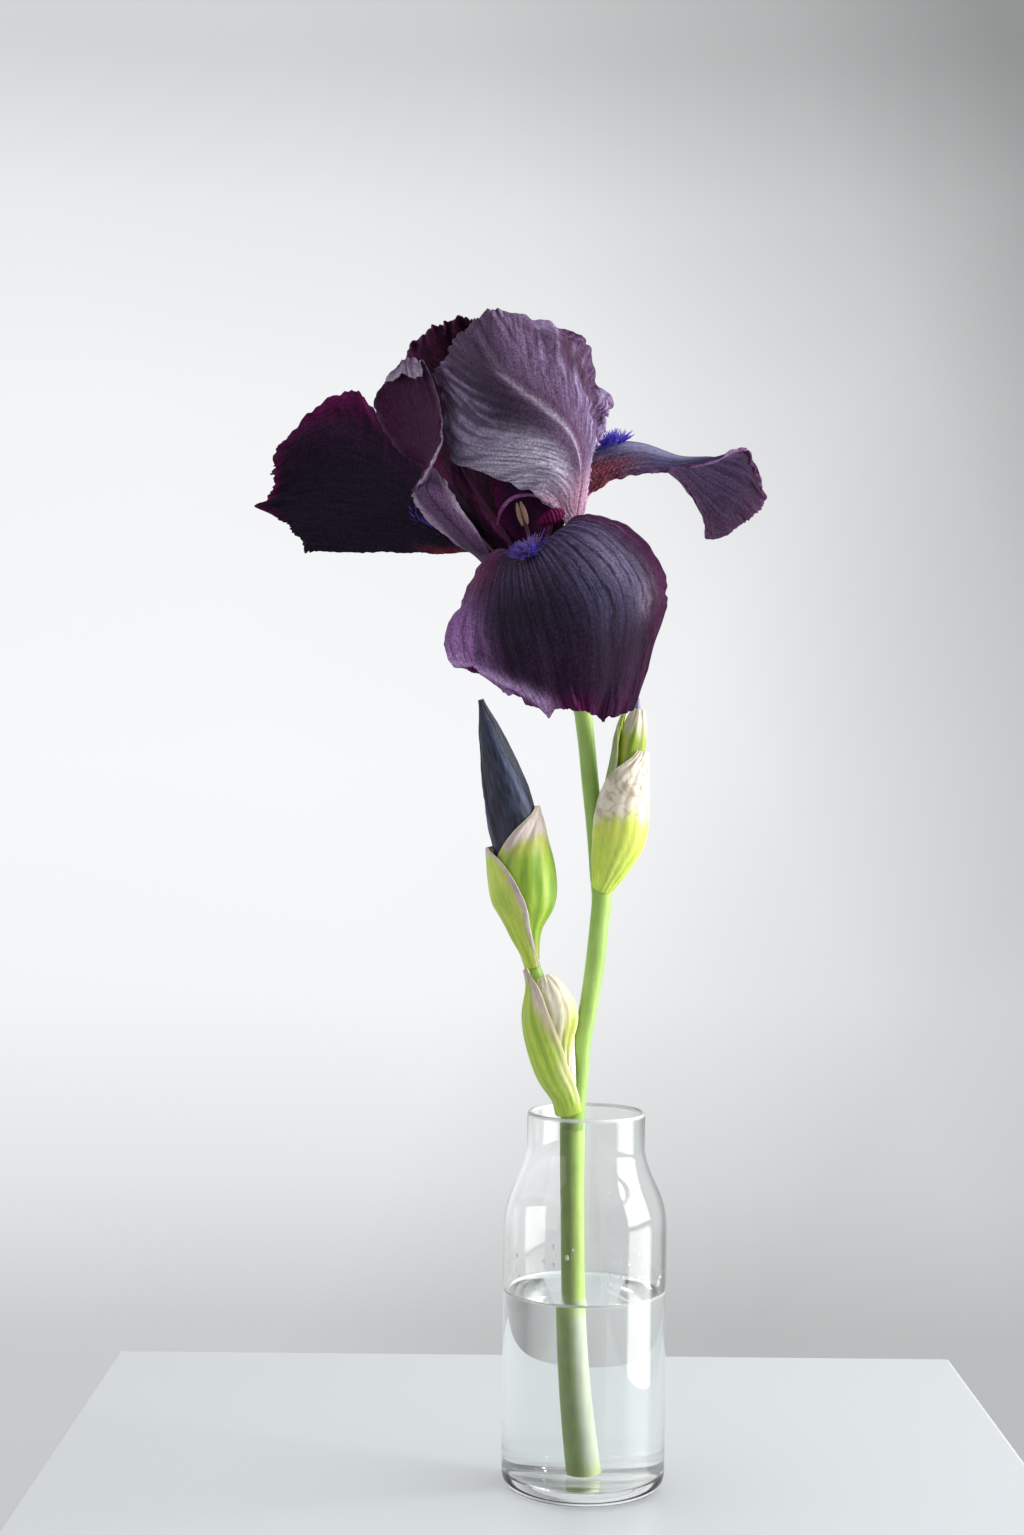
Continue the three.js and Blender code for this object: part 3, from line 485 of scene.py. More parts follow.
STAMENS = {
  "stamen_front": {
    "filament": [[-18.4, -6.4, 282], [-18.8, -8.4, 287], [-19.5, -11.5, 295], [-20.6, -17, 302]],
    "anther": [[-21, -20.8, 302.5], [-23.6, -20.6, 311]],
  },
  "stamen_left": {
    "filament": [[-21.2, -3, 280.9], [-23.6, -3.4, 287.5], [-28.5, -4, 294], [-35, -5.5, 301]],
    "anther": [[-35.5, -5.6, 302], [-42.5, -6.5, 307]],
  },
  "stamen_right": {
    "filament": [[-14.8, -1.5, 282.6], [-13.7, -1, 289], [-11.9, 0, 298], [-8.8, 1.4, 309]],
    "anther": [[-8.4, 1.6, 310], [-6.4, 2.8, 319.5]],
  },
}

# Each beard: its fall, where it starts and ends along it, the seed, the number of hairs,
# their length's share, how far they spread and the share of brown ones
BEARDS = {
  "beard_front": ("fall_front", 0.18, 0.33, 11, 380, 1.15, 0.9, 0.5),
  "beard_left": ("fall_left", 0.2, 0.44, 23, 60, 0.45, 0.5, 0.2),
  "beard_right": ("fall_right", 0.28, 0.44, 37, 220, 1.0, 0.6, 0.0),
}

# The lines that the stem, the buds and the bracts follow
STALK_PATH = [
  [0.3, 3, GLASS_FLOOR + 1], [-2.2, -1.2, 34], [-3.7, -5, 62], [-4.4, -8.8, 92],
  [-4.7, -11.8, 118],
]
STEM_PATH = [
  [-4.7, -12.2, 116], [-3.6, -12.8, 124.7], [-2.6, -13.1, 134], [-1.9, -13.1, 143.5],
  [0.2, -12.8, 156], [2, -12.2, 168.6], [3.1, -11.4, 180], [3.9, -10.4, 189],
  [2.9, -9, 198], [1.3, -7.8, 212.5], [-0.1, -7, 225], [-1.2, -6.6, 236],
  [-2.4, -6.4, 245.6],
]
BRANCH_PATH = [
  [-5.2, -12.6, 117], [-8.6, -15.2, 128], [-10.6, -15.8, 140], [-12.8, -15.6, 151],
  [-15.4, -15, 160.9], [-17.6, -13.2, 167.6],
]
BUD_STUB_PATH = [
  [3.6, -10.6, 189], [6, -12.2, 194.5], [8.3, -13, 200],
]
TUBE_PATH = [
  [-2.35, -6.4, 245.5], [-4, -6.3, 253], [-9.4, -5.2, 262], [-15, -3.8, 271],
  [-18, -3, 281],
]
BUD_PATH = [
  [-17.8, -13, 168.1], [-19.5, -13, 177.6], [-19.9, -13, 186.5], [-20.8, -13, 195.5],
  [-22.3, -13, 204.6], [-24.6, -13, 213.7], [-26.8, -13, 222.8], [-29.4, -13, 231.8],
  [-32.1, -13, 240.9], [-34.8, -13, 250],
]
OUTER_NODE_PATH = [
  [-5.4, -12.8, 121.5], [-6.8, -14, 127.2], [-10.2, -16.4, 135], [-12, -17, 144],
  [-13.2, -17, 152], [-15, -16.2, 160], [-18, -14.6, 166.5],
]
INNER_NODE_PATH = [
  [-7, -15.2, 129.5], [-8.4, -15.6, 136], [-9.9, -16.2, 144], [-10.1, -16, 152],
  [-12.4, -15.8, 159], [-14.6, -15.4, 163.5],
]
SHEATH_PATH = [
  [3.75, -10.8, 191.8], [4.6, -11.8, 194], [7, -12.6, 201], [8.9, -13, 208],
  [9.8, -13, 217], [10.6, -13, 226], [12.2, -13, 235],
]
SMALL_BUD_PATH = [
  [8.6, -13.2, 200.6], [9.8, -13.3, 210.6], [10.8, -13.2, 220.7], [12.1, -13, 230.8],
  [13.4, -13, 240.9], [14.5, -13, 251],
]
FLOWER_FOOT = np.array(TUBE_PATH[-1])


# Finishes
def new_finish(name, **shader_values):
    """A material, its tree and its shader, with the shader's values set."""
    made = bpy.data.materials.new(name)
    made.use_nodes = True
    shader = made.node_tree.nodes["Principled BSDF"]
    for key, value in shader_values.items():
        shader.inputs[key.replace("_", " ")].default_value = value
    return made, made.node_tree, shader


def node(tree, kind, inputs, output=0, **settings):
    """One output of a new shader node, whose inputs are other nodes' outputs or plain values."""
    added = tree.nodes.new("ShaderNode" + kind)
    for key, value in settings.items():
        setattr(added, key, value)
    for socket, source in inputs.items():
        if isinstance(source, bpy.types.NodeSocket):
            tree.links.new(source, added.inputs[socket])
        else:
            added.inputs[socket].default_value = source
    return added.outputs[output]


def noise(tree, place, scale, detail, roughness=0.5):
    inputs = {"Vector": place, "Scale": scale, "Detail": detail, "Roughness": roughness}
    return node(tree, "TexNoise", inputs, "Fac")


def stretched(tree, place, scale):
    return node(tree, "Mapping", {"Vector": place, "Scale": scale})


def drawn_out(tree, value, low, high, least=0.0, most=1.0):
    """The value, its range from low to high drawn out to least and most."""
    inputs = {"Value": value, "From Min": low, "From Max": high, "To Min": least, "To Max": most}
    return node(tree, "MapRange", inputs, "Result")


def product(tree, a, b, kind="Math"):
    return node(tree, kind, {0: a, 1: b}, operation="MULTIPLY")


def total(tree, a, b):
    return node(tree, "Math", {0: a, 1: b}, operation="ADD")


def give_relief(tree, shader, height, strength, depth):
    """Gives a finish a fine relief, its depth in metres."""
    relief = node(tree, "Bump", {"Height": height, "Strength": strength, "Distance": depth}, "Normal")
    tree.links.new(relief, shader.inputs["Normal"])


def petal_finish(name, vein_colour, vein_share, lines, sheen_tint, relief, gloss, fine=0.5, run=8.0):
    """A petal's skin: its own tint with fine uneven veins, a grain and a crumpled relief."""
    made, tree, shader = new_finish(
        name,
        Roughness=0.6,
        Specular_IOR_Level=gloss,
        Sheen_Weight=0.05 if sheen_tint else 0.0,
        Sheen_Roughness=0.45,
        Sheen_Tint=(*(sheen_tint or (1, 1, 1)), 1),
    )
    own = node(tree, "VertexColor", {}, "Color", layer_name="tint")
    body = node(tree, "TexCoord", {}, "Object")
    along_veins = stretched(tree, node(tree, "TexCoord", {}, "UV"), (run, lines, 1.0))
    vein = noise(tree, along_veins, 1.0, 3.0, 0.6)
    patchy = noise(tree, body, 420.0, 3.0)
    grain = noise(tree, body, 1300.0, 4.0, 0.7)
    share = product(tree, product(tree, drawn_out(tree, vein, fine, fine + 0.25), patchy), 2 * vein_share)
    veined = node(tree, "Mix", {"Factor": share, 6: own, 7: (*vein_colour, 1)}, 2, data_type="RGBA")
    speckled = product(tree, veined, drawn_out(tree, grain, 0.32, 0.68, 0.5, 1.5), "VectorMath")
    tree.links.new(speckled, shader.inputs["Base Color"])
    give_relief(tree, shader, total(tree, total(tree, vein, grain), patchy), relief, 0.0006)
    return made


def leaf_finish(name, lines, roughness, relief, mottle):
    """A green or papery skin: its own tint, mottled along its fibres, and a fine relief."""
    made, tree, shader = new_finish(name, Roughness=roughness, Specular_IOR_Level=0.45)
    own = node(tree, "VertexColor", {}, "Color", layer_name="tint")
    body = node(tree, "TexCoord", {}, "Object")
    fibre = noise(tree, stretched(tree, body, (1.0, 1.0, 0.08)), lines, 3.0)
    both = total(tree, fibre, noise(tree, body, 160.0, 4.0))
    uneven = drawn_out(tree, both, 0.6, 1.4, 1 - mottle, 1 + mottle)
    tree.links.new(product(tree, own, uneven, "VectorMath"), shader.inputs["Base Color"])
    give_relief(tree, shader, both, relief, 0.0003)
    return made


def clear_finish(name, ior, relief, highlight_above):
    """Clear glass or water with a slight unevenness, and from a height in millimetres a ring that lets less
    light through, a painted highlight that shows pale.
    """
    made, tree, shader = new_finish(
        name, Roughness=0.0, IOR=ior, Transmission_Weight=1.0, Base_Color=(0.985, 0.995, 0.99, 1)
    )
    body = node(tree, "TexCoord", {}, "Object")
    height = node(tree, "SeparateXYZ", {"Vector": body}, "Z")
    # Painted highlight: above the height the finish lets less light through and shows pale
    ring = drawn_out(tree, height, highlight_above * MM, (highlight_above + 0.6) * MM, 1.0, 0.6)
    tree.links.new(ring, shader.inputs["Transmission Weight"])
    give_relief(tree, shader, noise(tree, body, 38.0, 1.0), relief, 0.0006)
    return made


# Colours of the flower
NEAR_BLACK = colour_of("0f0812")
INK = colour_of("30263a")
PLUM = colour_of("38183a")
MAGENTA = colour_of("6a1450")
ROSE = colour_of("8a3f78")
MAUVE = colour_of("5f4c66")
SLATE = colour_of("545073")
STEEL_BLUE = colour_of("4c5580")
LILAC = colour_of("9c80ae")
PALE_LILAC = colour_of("ead6f0")
SILVER = colour_of("cdc2ee")
VIOLET_LILAC = colour_of("c294dc")
PALE_SILVER = colour_of("ece2fb")
WINE = colour_of("451132")
CRIMSON = colour_of("7a1a56")
BRICK = colour_of("74202e")
FLESH = colour_of("c08a96")
PINK = colour_of("eba6c6")
CREAM = colour_of("a58473")
POLLEN = colour_of("96705c")
VIOLET = colour_of("3f2fb0")
PALE_VIOLET = colour_of("6f60dc")
BROWN = colour_of("4a2f22")
GOLD = colour_of("a07c4a")

plum_finish = petal_finish("plum velvet", NEAR_BLACK, 0.8, 190, (0.6, 0.55, 1.0), 0.4, 0.05, 0.48)
lilac_finish = petal_finish("lilac standard", PLUM, 0.42, 170, (0.85, 0.8, 1.0), 0.9, 0.12, 0.45, 16.0)
wine_standard_finish = petal_finish("wine standard", ROSE, 0.25, 90, (0.8, 0.7, 1.0), 0.5, 0.08)
wine_finish = petal_finish("wine style", NEAR_BLACK, 0.5, 40, None, 0.3, 0.05)


# Petals
def margin_of(s, t, start=0.55, tip=0.72):
    """How near a point of a petal is to its margin, from 0 inside to 1 on it."""
    return np.maximum(ease(side_of(t), start, 1) * ease(s, 0.05, 0.3), ease(s, tip, 1))


def rim_run(s, t):
    """A place that runs round the margin from one side of the claw over the tip to the other."""
    return s * (1 - 0.5 * side_of(t)) + np.where(t > 0.5, 0.13, 0) + 0.6 * t


def rim_turn(s, t):
    """The turn round a petal's middle, so that frills stand square to its margin all round."""
    return np.arctan2(2 * t - 1, 1.6 * (s - 0.35)) * 0.35


def feathered(s, t, spread=FEATHER):
    """A place that is the same along one vein, where veins branch off the midrib to the margin."""
    return s - spread * side_of(t) + 0.03 * np.sign(2 * t - 1)


def waved(points, height, waves):
    """The broad wave of the margin, as the solid has it."""
    s, t = grid_places(points)
    margin = np.maximum(side_of(t) ** 3 * np.minimum(1, 2 * s), np.maximum(0, s - 0.7) / 0.3)
    return raised(points, height * margin * np.sin(TURN * waves * rim_run(s, t)))


def frilled(points, lift, shift, seed, calm=1.0):
    """Fine frills: the rim curls up and down, and its edge runs in and out, less where it is calm."""
    s, t = grid_places(points)
    side = side_of(t)
    near = np.maximum(ease(side, 0.6, 1) * ease(s, 0.15, 0.4), ease(s, 0.85, 1))
    edge = np.maximum(ease(side, 0.8, 1) * ease(s, 0.15, 0.4), ease(s, 0.9, 1))
    run = rim_turn(s, t) + 0.02 * ripple(s * 3, t * 3, seed + 4, 2)
    curl = 0.8 * ripple(run * 9, side * 0.8, seed, 3) + 0.6 * ripple(run * 24, side * 1.5, seed + 1, 3)
    notch = 0.8 * ripple(run * 12, s * 0, seed + 2, 3) + 0.6 * ripple(run * 40, s * 0, seed + 3, 3)
    over, down = unit(np.gradient(points, axis=1)), unit(np.gradient(points, axis=0))
    outward = over * (np.sign(2 * t - 1) * side**2)[..., None] + down * ease(s, 0.8, 1)[..., None]
    return raised(points, lift * calm * near * curl) + outward * (shift * calm * edge * notch)[..., None]


def fan_veins(points, depth, count, seed):
    """Low ribs that fan out from the claw, and a groove along the middle."""
    s, t = grid_places(points)
    place = t + 0.02 * ripple(s * 3, t * 6, seed, 3)
    rib = np.sin(TURN * count * place) * (0.6 + 0.4 * ripple(s * 3, t * 9, seed + 5, 2))
    return raised(points, depth * ease(s, 0.05, 0.25) * (rib - 2.5 * bump(t, 0.5, 0.018) * (1 - s)))


def crinkles(s, t, count, seed, spread):
    """Ribs that branch off the midrib, and the puckers between them, each between about -1 and 1."""
    side = side_of(t)
    place = feathered(s, t, spread) + 0.012 * ripple(s * 3, t * 4, seed, 3)
    rib = np.sin(TURN * count * place) * ease(side, 0.02, 0.2)
    pucker = ripple(place * count * 0.45, side * 2.5 + 7 * (t > 0.5), seed + 1, 4)
    return rib, pucker * ease(side, 0.15, 0.8)


def feather_veins(points, depth, count, seed, spread=FEATHER):
    """A raised midrib, and crinkles between it and the margins."""
    s, t = grid_places(points)
    rib, pucker = crinkles(s, t, count, seed, spread)
    middle = bump(t, 0.5, 0.022) * (1.15 - s)
    return raised(points, ease(s, 0.06, 0.3) * (0.25 * rib * depth + middle * 0.9 + 3.5 * depth * pucker))


def petal(name, points, wave, frill, slot, finish, colours, seed, spread=0.0, calm=1.0):
    """Finishes one petal: the broad wave, the frills and the colours of its two faces."""
    s, t = grid_places(points)
    points = frilled(waved(points, *wave), *frill, seed, calm)
    flow = (side_of(t) + 3 * (t > 0.5), feathered(s, t, spread)) if spread else (s, t)
    return seat(blade(name + "_petal", points, PETAL_WALL, colours(s, t), finish, flow), slot, name)


def front_fall_colours(s, t):
    t_bent = t + 0.012 * ripple(s * 4, t * 7, 12, 3)
    dark = mixed(NEAR_BLACK, INK, 0.4 + 0.5 * streaks(t_bent, s, 22, 3))
    c = mixed(dark, PLUM, ease(s, 0.45, 0.95) * 0.5 * streaks(t, s, 26, 4))
    # Painted sheen: slate-blue streaks on the right shoulder, where the light from the right catches it
    shoulder_sheen = ease(t, 0.5, 0.72) * ease(t, 0.98, 0.86) * ease(s, 0.12, 0.3) * ease(s, 0.72, 0.5)
    c = mixed(c, SLATE, shoulder_sheen * (0.4 + 0.45 * streaks(t_bent, s, 44, 5)))
    # Painted highlights: two pale lilac sheen patches on the right, where the light falls
    sheen = bump(t, 0.8, 0.1) * bump(s, 0.48, 0.09)
    c = mixed(c, mixed(SLATE, PALE_LILAC, 0.45), 0.3 * sheen * streaks(t_bent * 1.5, s * 3, 34, 18, 0.1))
    right_sheen = bump(t, 0.9, 0.05) * bump(s, 0.62, 0.08)
    c = mixed(c, mixed(SLATE, PALE_LILAC, 0.6), 0.45 * right_sheen * streaks(t_bent, s * 3, 34, 20, 0.3))
    left = ease(t, 0.27, 0.04) * ease(s, 0.4, 0.6)
    c = mixed(c, mixed(ROSE, VIOLET_LILAC, 0.7), 0.95 * left * streaks(t * 0.6, s * 3, 30, 6, 0.4))
    upper = ease(s, 0.1, 0.2) * ease(s, 0.55, 0.35)
    c = mixed(c, mixed(SLATE, LILAC, 0.5), 0.7 * upper * streaks(t, s, 48, 11) ** 2)
    c = mixed(c, NEAR_BLACK, 0.7 * ease(streaks(t_bent, s * 0.6, 52, 12), 0.55, 0.95) * ease(s, 1.0, 0.6))
    low_side = 0.35 + 0.65 * ease(side_of(t), 0.25, 0.7)
    c = mixed(c, mixed(PLUM, MAGENTA, 0.3), 0.7 * low_side * ease(s, 0.6, 0.97) * streaks(t, s, 44, 10))
    rim = margin_of(s, t, 0.7, 0.86)
    rim_colour = mixed(MAGENTA, PLUM, 0.55 * ease(t, 0.4, 0.8))
    rim_colour = mixed(rim_colour, VIOLET_LILAC, 0.55 * ease(t, 0.25, 0.1))
    # Painted shade: the right margin darkened against the light that falls on it from the right
    c = mixed(c, NEAR_BLACK, 0.55 * ease(t, 0.84, 0.93) * ease(s, 0.3, 0.5))
    c = mixed(c, rim_colour, 0.85 * rim * streaks(t, s, 24, 7, 0.3))
    # Painted sheen: a pale violet highlight along the lower left edge
    lower_edge_sheen = bump(s, 0.74 + 0.62 * t, 0.06) * ease(t, 0.45, 0.3)
    c = mixed(c, mixed(VIOLET_LILAC, PALE_LILAC, 0.3), 0.95 * lower_edge_sheen * streaks(t, s, 50, 19, 0.45))
    c = mixed(c, NEAR_BLACK, 0.5 * ease(t, 0.55, 0.68) * ease(s, 0.66, 0.78) * streaks(t, s, 30, 21, 0.5))
    haft = ease(t, 0.3, 0.06) * ease(s, 0.52, 0.35) * ease(s, 0.2, 0.3)
    c = mixed(c, mixed(BRICK, ROSE, 0.3), 0.85 * haft * streaks(t, s * 4, 50, 8, 0.2))
    under = mixed(PLUM, SLATE, 0.5 * streaks(t, s, 20, 9))
    return c, mixed(under, MAGENTA, 0.6 * rim)


def left_fall_colours(s, t):
    dark = mixed(NEAR_BLACK, INK, 0.3 + 0.3 * streaks(t + 0.015 * ripple(s * 4, t * 7, 18, 3), s, 30, 13))
    upper_rim = np.maximum(ease(t, 0.13, 0.0) * ease(s, 0.2, 0.4), ease(s, 0.93, 1) * ease(t, 0.75, 0.4))
    c = mixed(dark, PLUM, 0.7 * ease(t, 0.42, 0.05) * streaks(s, t, 26, 15))
    c = mixed(c, MAGENTA, 0.95 * upper_rim * streaks(s, t, 26, 14, 0.3))
    c = mixed(c, MAGENTA, 0.25 * ease(t, 0.32, 0.05) * ease(s, 0.3, 0.5) * streaks(s, t, 44, 17) ** 2)
    spots = ease(ripple(s * 50, t * 22, 16, 2), 0.3, 0.55)
    haft = ease(t, 0.72, 0.95) * ease(s, 0.5, 0.3)
    c = mixed(c, mixed(BRICK, FLESH, 0.6 * spots), 0.75 * haft)
    return c, mixed(PLUM, MAGENTA, 0.5 * margin_of(s, t))


def right_fall_colours(s, t):
    haft = ease(s, 0.6, 0.35)
    spots = ease(ripple(s * 60, t * 30, 21, 2), 0.3, 0.6)
    red = mixed(mixed(BRICK, NEAR_BLACK, 0.2 + 0.6 * streaks(t, s, 16, 27)), FLESH, 0.35 * spots)
    # The steel-blue top is partly the fall's own colour and partly painted sheen where the light catches it
    top = mixed(INK, STEEL_BLUE, 0.7 * streaks(t, s, 24, 22))
    c = mixed(top, red, haft * ease(t, 0.42, 0.2) * 0.97)
    # Painted highlight: a silver band across the top
    c = mixed(c, SILVER, 0.3 * bump(t, 0.42, 0.1) * ease(s, 0.35, 0.5) * ease(s, 0.8, 0.65))
    rim = margin_of(s, t, 0.6, 0.8)
    c = mixed(c, MAGENTA, 0.75 * rim * ease(s, 0.45, 0.7) * streaks(t, s, 26, 25, 0.4))
    under = mixed(SLATE, PLUM, 0.3 + 0.7 * streaks(t, s, 24, 23))
    under = mixed(under, LILAC, 0.2 + 0.35 * streaks(t, s, 32, 26))
    under = mixed(under, mixed(ROSE, PALE_LILAC, 0.2), 0.85 * rim * streaks(t, s, 12, 24, 0.3))
    return c, under


def front_standard_colours(s, t):
    side = side_of(t)
    vein = feathered(s, t)
    fine = 0.5 + 0.5 * ripple(vein * 46, side * 3 + 5 * (t > 0.5), 31, 3)
    broad = 0.5 + 0.5 * ripple(vein * 9, side * 2 + 5 * (t > 0.5), 32, 3)
    rib, pucker = crinkles(s, t, 15, 64, FEATHER)
    crest = ease(-0.2 * rib - pucker, -0.3, 0.6)
    c = mixed(mixed(PLUM, WINE, 0.3), MAUVE, 0.2 + 0.6 * broad)
    # Painted light: the lilac is stronger right of the midrib, the side the light falls on
    lit_right_side = ease(t, 0.5, 0.75)
    c = mixed(c, LILAC, (0.3 + 0.3 * fine) * (0.35 + 0.45 * ease(side, 0.4, 0.95) + 0.8 * lit_right_side))
    c = mixed(c, INK, 0.75 * bump(t, 0.36, 0.14) * ease(s, 0.6, 0.72) * ease(s, 1.0, 0.85))
    # Painted shade in the crinkles' valleys, and painted silver highlights on their crests
    c = mixed(c, NEAR_BLACK, 0.45 * (1 - crest) * (1 - 0.6 * fine) * ease(side, 0.1, 0.4))
    c = mixed(c, SILVER, 0.4 * crest**2 * ease(side, 0.15, 0.5) * (0.4 + 0.6 * fine))
    # The lower left margin's silver is partly its own colour and partly a painted highlight where it rolls
    # out into the light
    lower_left = ease(t, 0.36, 0.06) * ease(s, 0.9, 0.6)
    c = mixed(c, SILVER, 0.9 * lower_left * (0.4 + 0.6 * crest) * (0.6 + 0.4 * fine))
    c = mixed(c, PALE_SILVER, 0.92 * ease(t, 0.42, 0.24) * ease(s, 0.76, 0.58) * (0.75 + 0.25 * fine))
    c = mixed(c, PLUM, 0.7 * ease(t, 0.46, 0.26) * ease(s, 0.78, 0.6) * ease(fine, 0.5, 0.15))
    c = mixed(c, PLUM, 0.5 * lit_right_side * ease(fine, 0.5, 0.15) * ease(s, 0.4, 0.6))
    # Painted shade in the folds of the rolled lower margin
    wrinkle_shade = np.sin(TURN * 9 * (s + 0.25 * t)) * ease(t, 0.2, 0.05) * ease(s, 0.8, 0.65)
    c = mixed(c, INK, 0.6 * ease(wrinkle_shade, 0.35, 0.95) * (1 - 0.4 * fine))
    # The right side's wine-magenta: partly its own colour, partly painted shade laid in the crinkles'
    # valleys
    c = mixed(c, mixed(PLUM, MAGENTA, 0.3), 0.5 * ease(t, 0.7, 0.9) * (1 - crest) * ease(s, 0.5, 0.7))
    middle = bump(t, 0.5, 0.02) * ease(s, 1.1, 0.6)
    c = mixed(c, PALE_LILAC, (0.6 + 0.35 * ease(s, 0.7, 0.4)) * middle * (0.6 + 0.4 * fine))
    beside = bump(t, 0.545, 0.016) * ease(s, 0.95, 0.5) * ease(s, 0.2, 0.35)
    c = mixed(c, MAGENTA, 0.55 * beside)
    claw = ease(s, 0.5, 0.28)
    rosy = mixed(PINK, PALE_LILAC, 0.5 * streaks(t, s, 12, 36))
    c = mixed(c, rosy, 0.95 * claw * streaks(t, s, 40, 34, 0.7))
    patch = bump(t, 0.86, 0.09) * bump(s, 0.84, 0.12)
    c = mixed(c, mixed(WINE, NEAR_BLACK, 0.4), 0.9 * patch)
    inner = mixed(WINE, INK, streaks(t, s, 24, 35))
    return inner, c


def left_standard_colours(s, t):
    side = side_of(t)
    fine = 0.5 + 0.5 * ripple(feathered(s, t, 0.2) * 50, side * 3, 41, 3)
    outer = mixed(mixed(MAUVE, PLUM, 0.7), LILAC, 0.3 * fine)
    outer = mixed(outer, PALE_LILAC, 0.6 * margin_of(s, t, 0.5, 0.9) * (0.3 + 0.7 * fine))
    inner = mixed(mixed(PLUM, WINE, 0.4), NEAR_BLACK, 0.3 * (1 - fine))
    inner = mixed(inner, MAUVE, 0.5 * ease(side, 0.86, 1))
    return inner, outer


def back_standard_colours(s, t):
    c = mixed(NEAR_BLACK, WINE, 0.6 * streaks(t, s, 24, 51) + 0.3 * margin_of(s, t))
    outer = mixed(mixed(MAUVE, PLUM, 0.5), LILAC, 0.5 * streaks(t, s, 36, 52))
    return outer, c


front_fall = fan_veins(petal_points(PETALS["fall_front"], 180, 170), 0.035, 30, 61)
s, t = grid_places(front_fall)
# Its tip has two points, and its sides are a little uneven
for across, length in ((0.33, 3.0), (0.73, 2.2)):
    point = length * bump(t, across, 0.022) * ease(s, 0.93, 1)
    front_fall = front_fall + point[..., None] * (0, 0, -1)
sides = ease(s, 0.3, 0.7) * ease(side_of(t), 1.0, 0.8)
front_fall = raised(front_fall, 0.7 * ripple(t * 4, s * 0.8, 68, 2) * sides)
petal("fall_front", front_fall, (0.9, 3.5), (0.7, 0.5), "fall_plum", plum_finish, front_fall_colours, 61)

left_fall = fan_veins(petal_points(PETALS["fall_left"], 150, 120), 0.012, 22, 62)
s, t = grid_places(left_fall)
# A broad notch with a thin tail in it, and a calm lower edge
tail = bump(t, 0.5, 0.17) - bump(t, 0.5, 0.035)
left_fall = left_fall + (tail * ease(s, 0.84, 1))[..., None] * (4.5, 0, -0.8)
calm = 1 - bump(t, 0.5, 0.12) * ease(s, 0.85, 0.95)
calm = calm * (1 - 0.75 * ease(t, 0.6, 0.85) * ease(s, 0.98, 0.9))
wave, frill = (0.7, 3.5), (1.0, 1.7)
petal("fall_left", left_fall, wave, frill, "fall_plum", plum_finish, left_fall_colours, 62, calm=calm)

right_fall = fan_veins(petal_points(PETALS["fall_right"], 150, 110), 0.08, 18, 63)
petal("fall_right", right_fall, (0.7, 3.5), (0.7, 0.7), "fall_plum", plum_finish, right_fall_colours, 63)

midrib_shift = profile([0, 0, 0.04, 0.09, 0.03, -0.05])
front_standard = with_midrib(petal_points(PETALS["standard_front"], 190, 160), midrib_shift)
front_standard = feather_veins(front_standard, 0.13, 15, 64)
s, t = grid_places(front_standard)
# The lower margin rolls in and folds, and the right side crumples
rolled_margin = ease(t, 0.24, 0.0) * ease(s, 0.25, 0.4) * ease(s, 0.95, 0.75)
folds = np.sin(TURN * 9 * (s + 0.25 * t)) * ease(t, 0.2, 0.05)
right_folds = ripple(s * 8 + t, t * 2.5, 67, 3) * ease(t, 0.6, 0.95) * ease(s, 0.35, 0.6)
front_standard = raised(front_standard, -rolled_margin * (0.5 + 0.45 * folds) - 2.4 * right_folds)
calm = 1 - 0.9 * ease(t, 0.4, 0.15) * ease(s, 0.2, 0.3) * ease(s, 0.85, 0.7)
look = ("standard_lilac", lilac_finish, front_standard_colours, 64, FEATHER, calm)
petal("standard_front", front_standard, (0.9, 3.5), (1.0, 1.0), *look)

left_standard = feather_veins(petal_points(PETALS["standard_left"], 180, 90), 0.08, 22, 65, 0.2)
s, t = grid_places(left_standard)
calm = 1 - 0.7 * ease(s, 0.8, 0.95)
look = ("standard_lilac", wine_standard_finish, left_standard_colours, 65, 0.2, calm)
petal("standard_left", left_standard, (0.6, 4), (0.7, 0.6), *look)

back_standard = feather_veins(petal_points(PETALS["standard_back"], 130, 110), 0.12, 12, 66)
look = ("standard_lilac", wine_standard_finish, back_standard_colours, 66, FEATHER)
petal("standard_back", back_standard, (1.1, 3.5), (1.3, 1.0), *look)


# Style: three crested arms on a short column
def style_colours(s, t):
    c = mixed(mixed(PLUM, WINE, streaks(t, s, 8, 71)), NEAR_BLACK, 0.5 * streaks(t, s, 12, 76))
    c = mixed(c, ROSE, 0.2 * ease(s, 0.75, 1) * streaks(t, s, 10, 72))
    under = mixed(WINE, mixed(PLUM, NEAR_BLACK, 0.4), 0.4 + 0.6 * streaks(t, s, 8, 73))
    return c, mixed(under, MAGENTA, 0.5 * ease(side_of(t), 0.7, 1) * ease(s, 0.2, 0.5))


arms = []
for number, rows in enumerate(STYLE_ARMS):
    points = petal_points(rows, 60, 48)
    points, places = frilled(points, 0.35, 0.5, 74 + number), grid_places(points)
    arms.append(blade("style_arm", points, ARM_WALL, style_colours(*places), wine_finish))
column_path = [[-18, -3.2, 282.2], [-18.1, -3.3, 286], [-18.2, -3.5, 291]]
column_look = (wine_finish, lambda s, angle: mixed(WINE, FLESH, 0.5))
arms.append(spindle("style_column", column_path, evenly_round(1.8, 1.9, 3), 12, 24, *column_look))
lip_path = [
    [-30.3, -14, 304.5], [-29, -16, 309], [-25.6, -17.7, 312.6], [-20.8, -18.9, 313.6], [-16, -18.1, 312.8]
]
lip_look = (wine_finish, lambda s, angle: mixed(ROSE, VIOLET_LILAC, 0.35 * ease(s, 0.1, 0.5)))
arms.append(spindle("style_lip", lip_path, evenly_round(0.3, 0.6, 0.65, 0.55, 0.3), 40, 12, *lip_look))

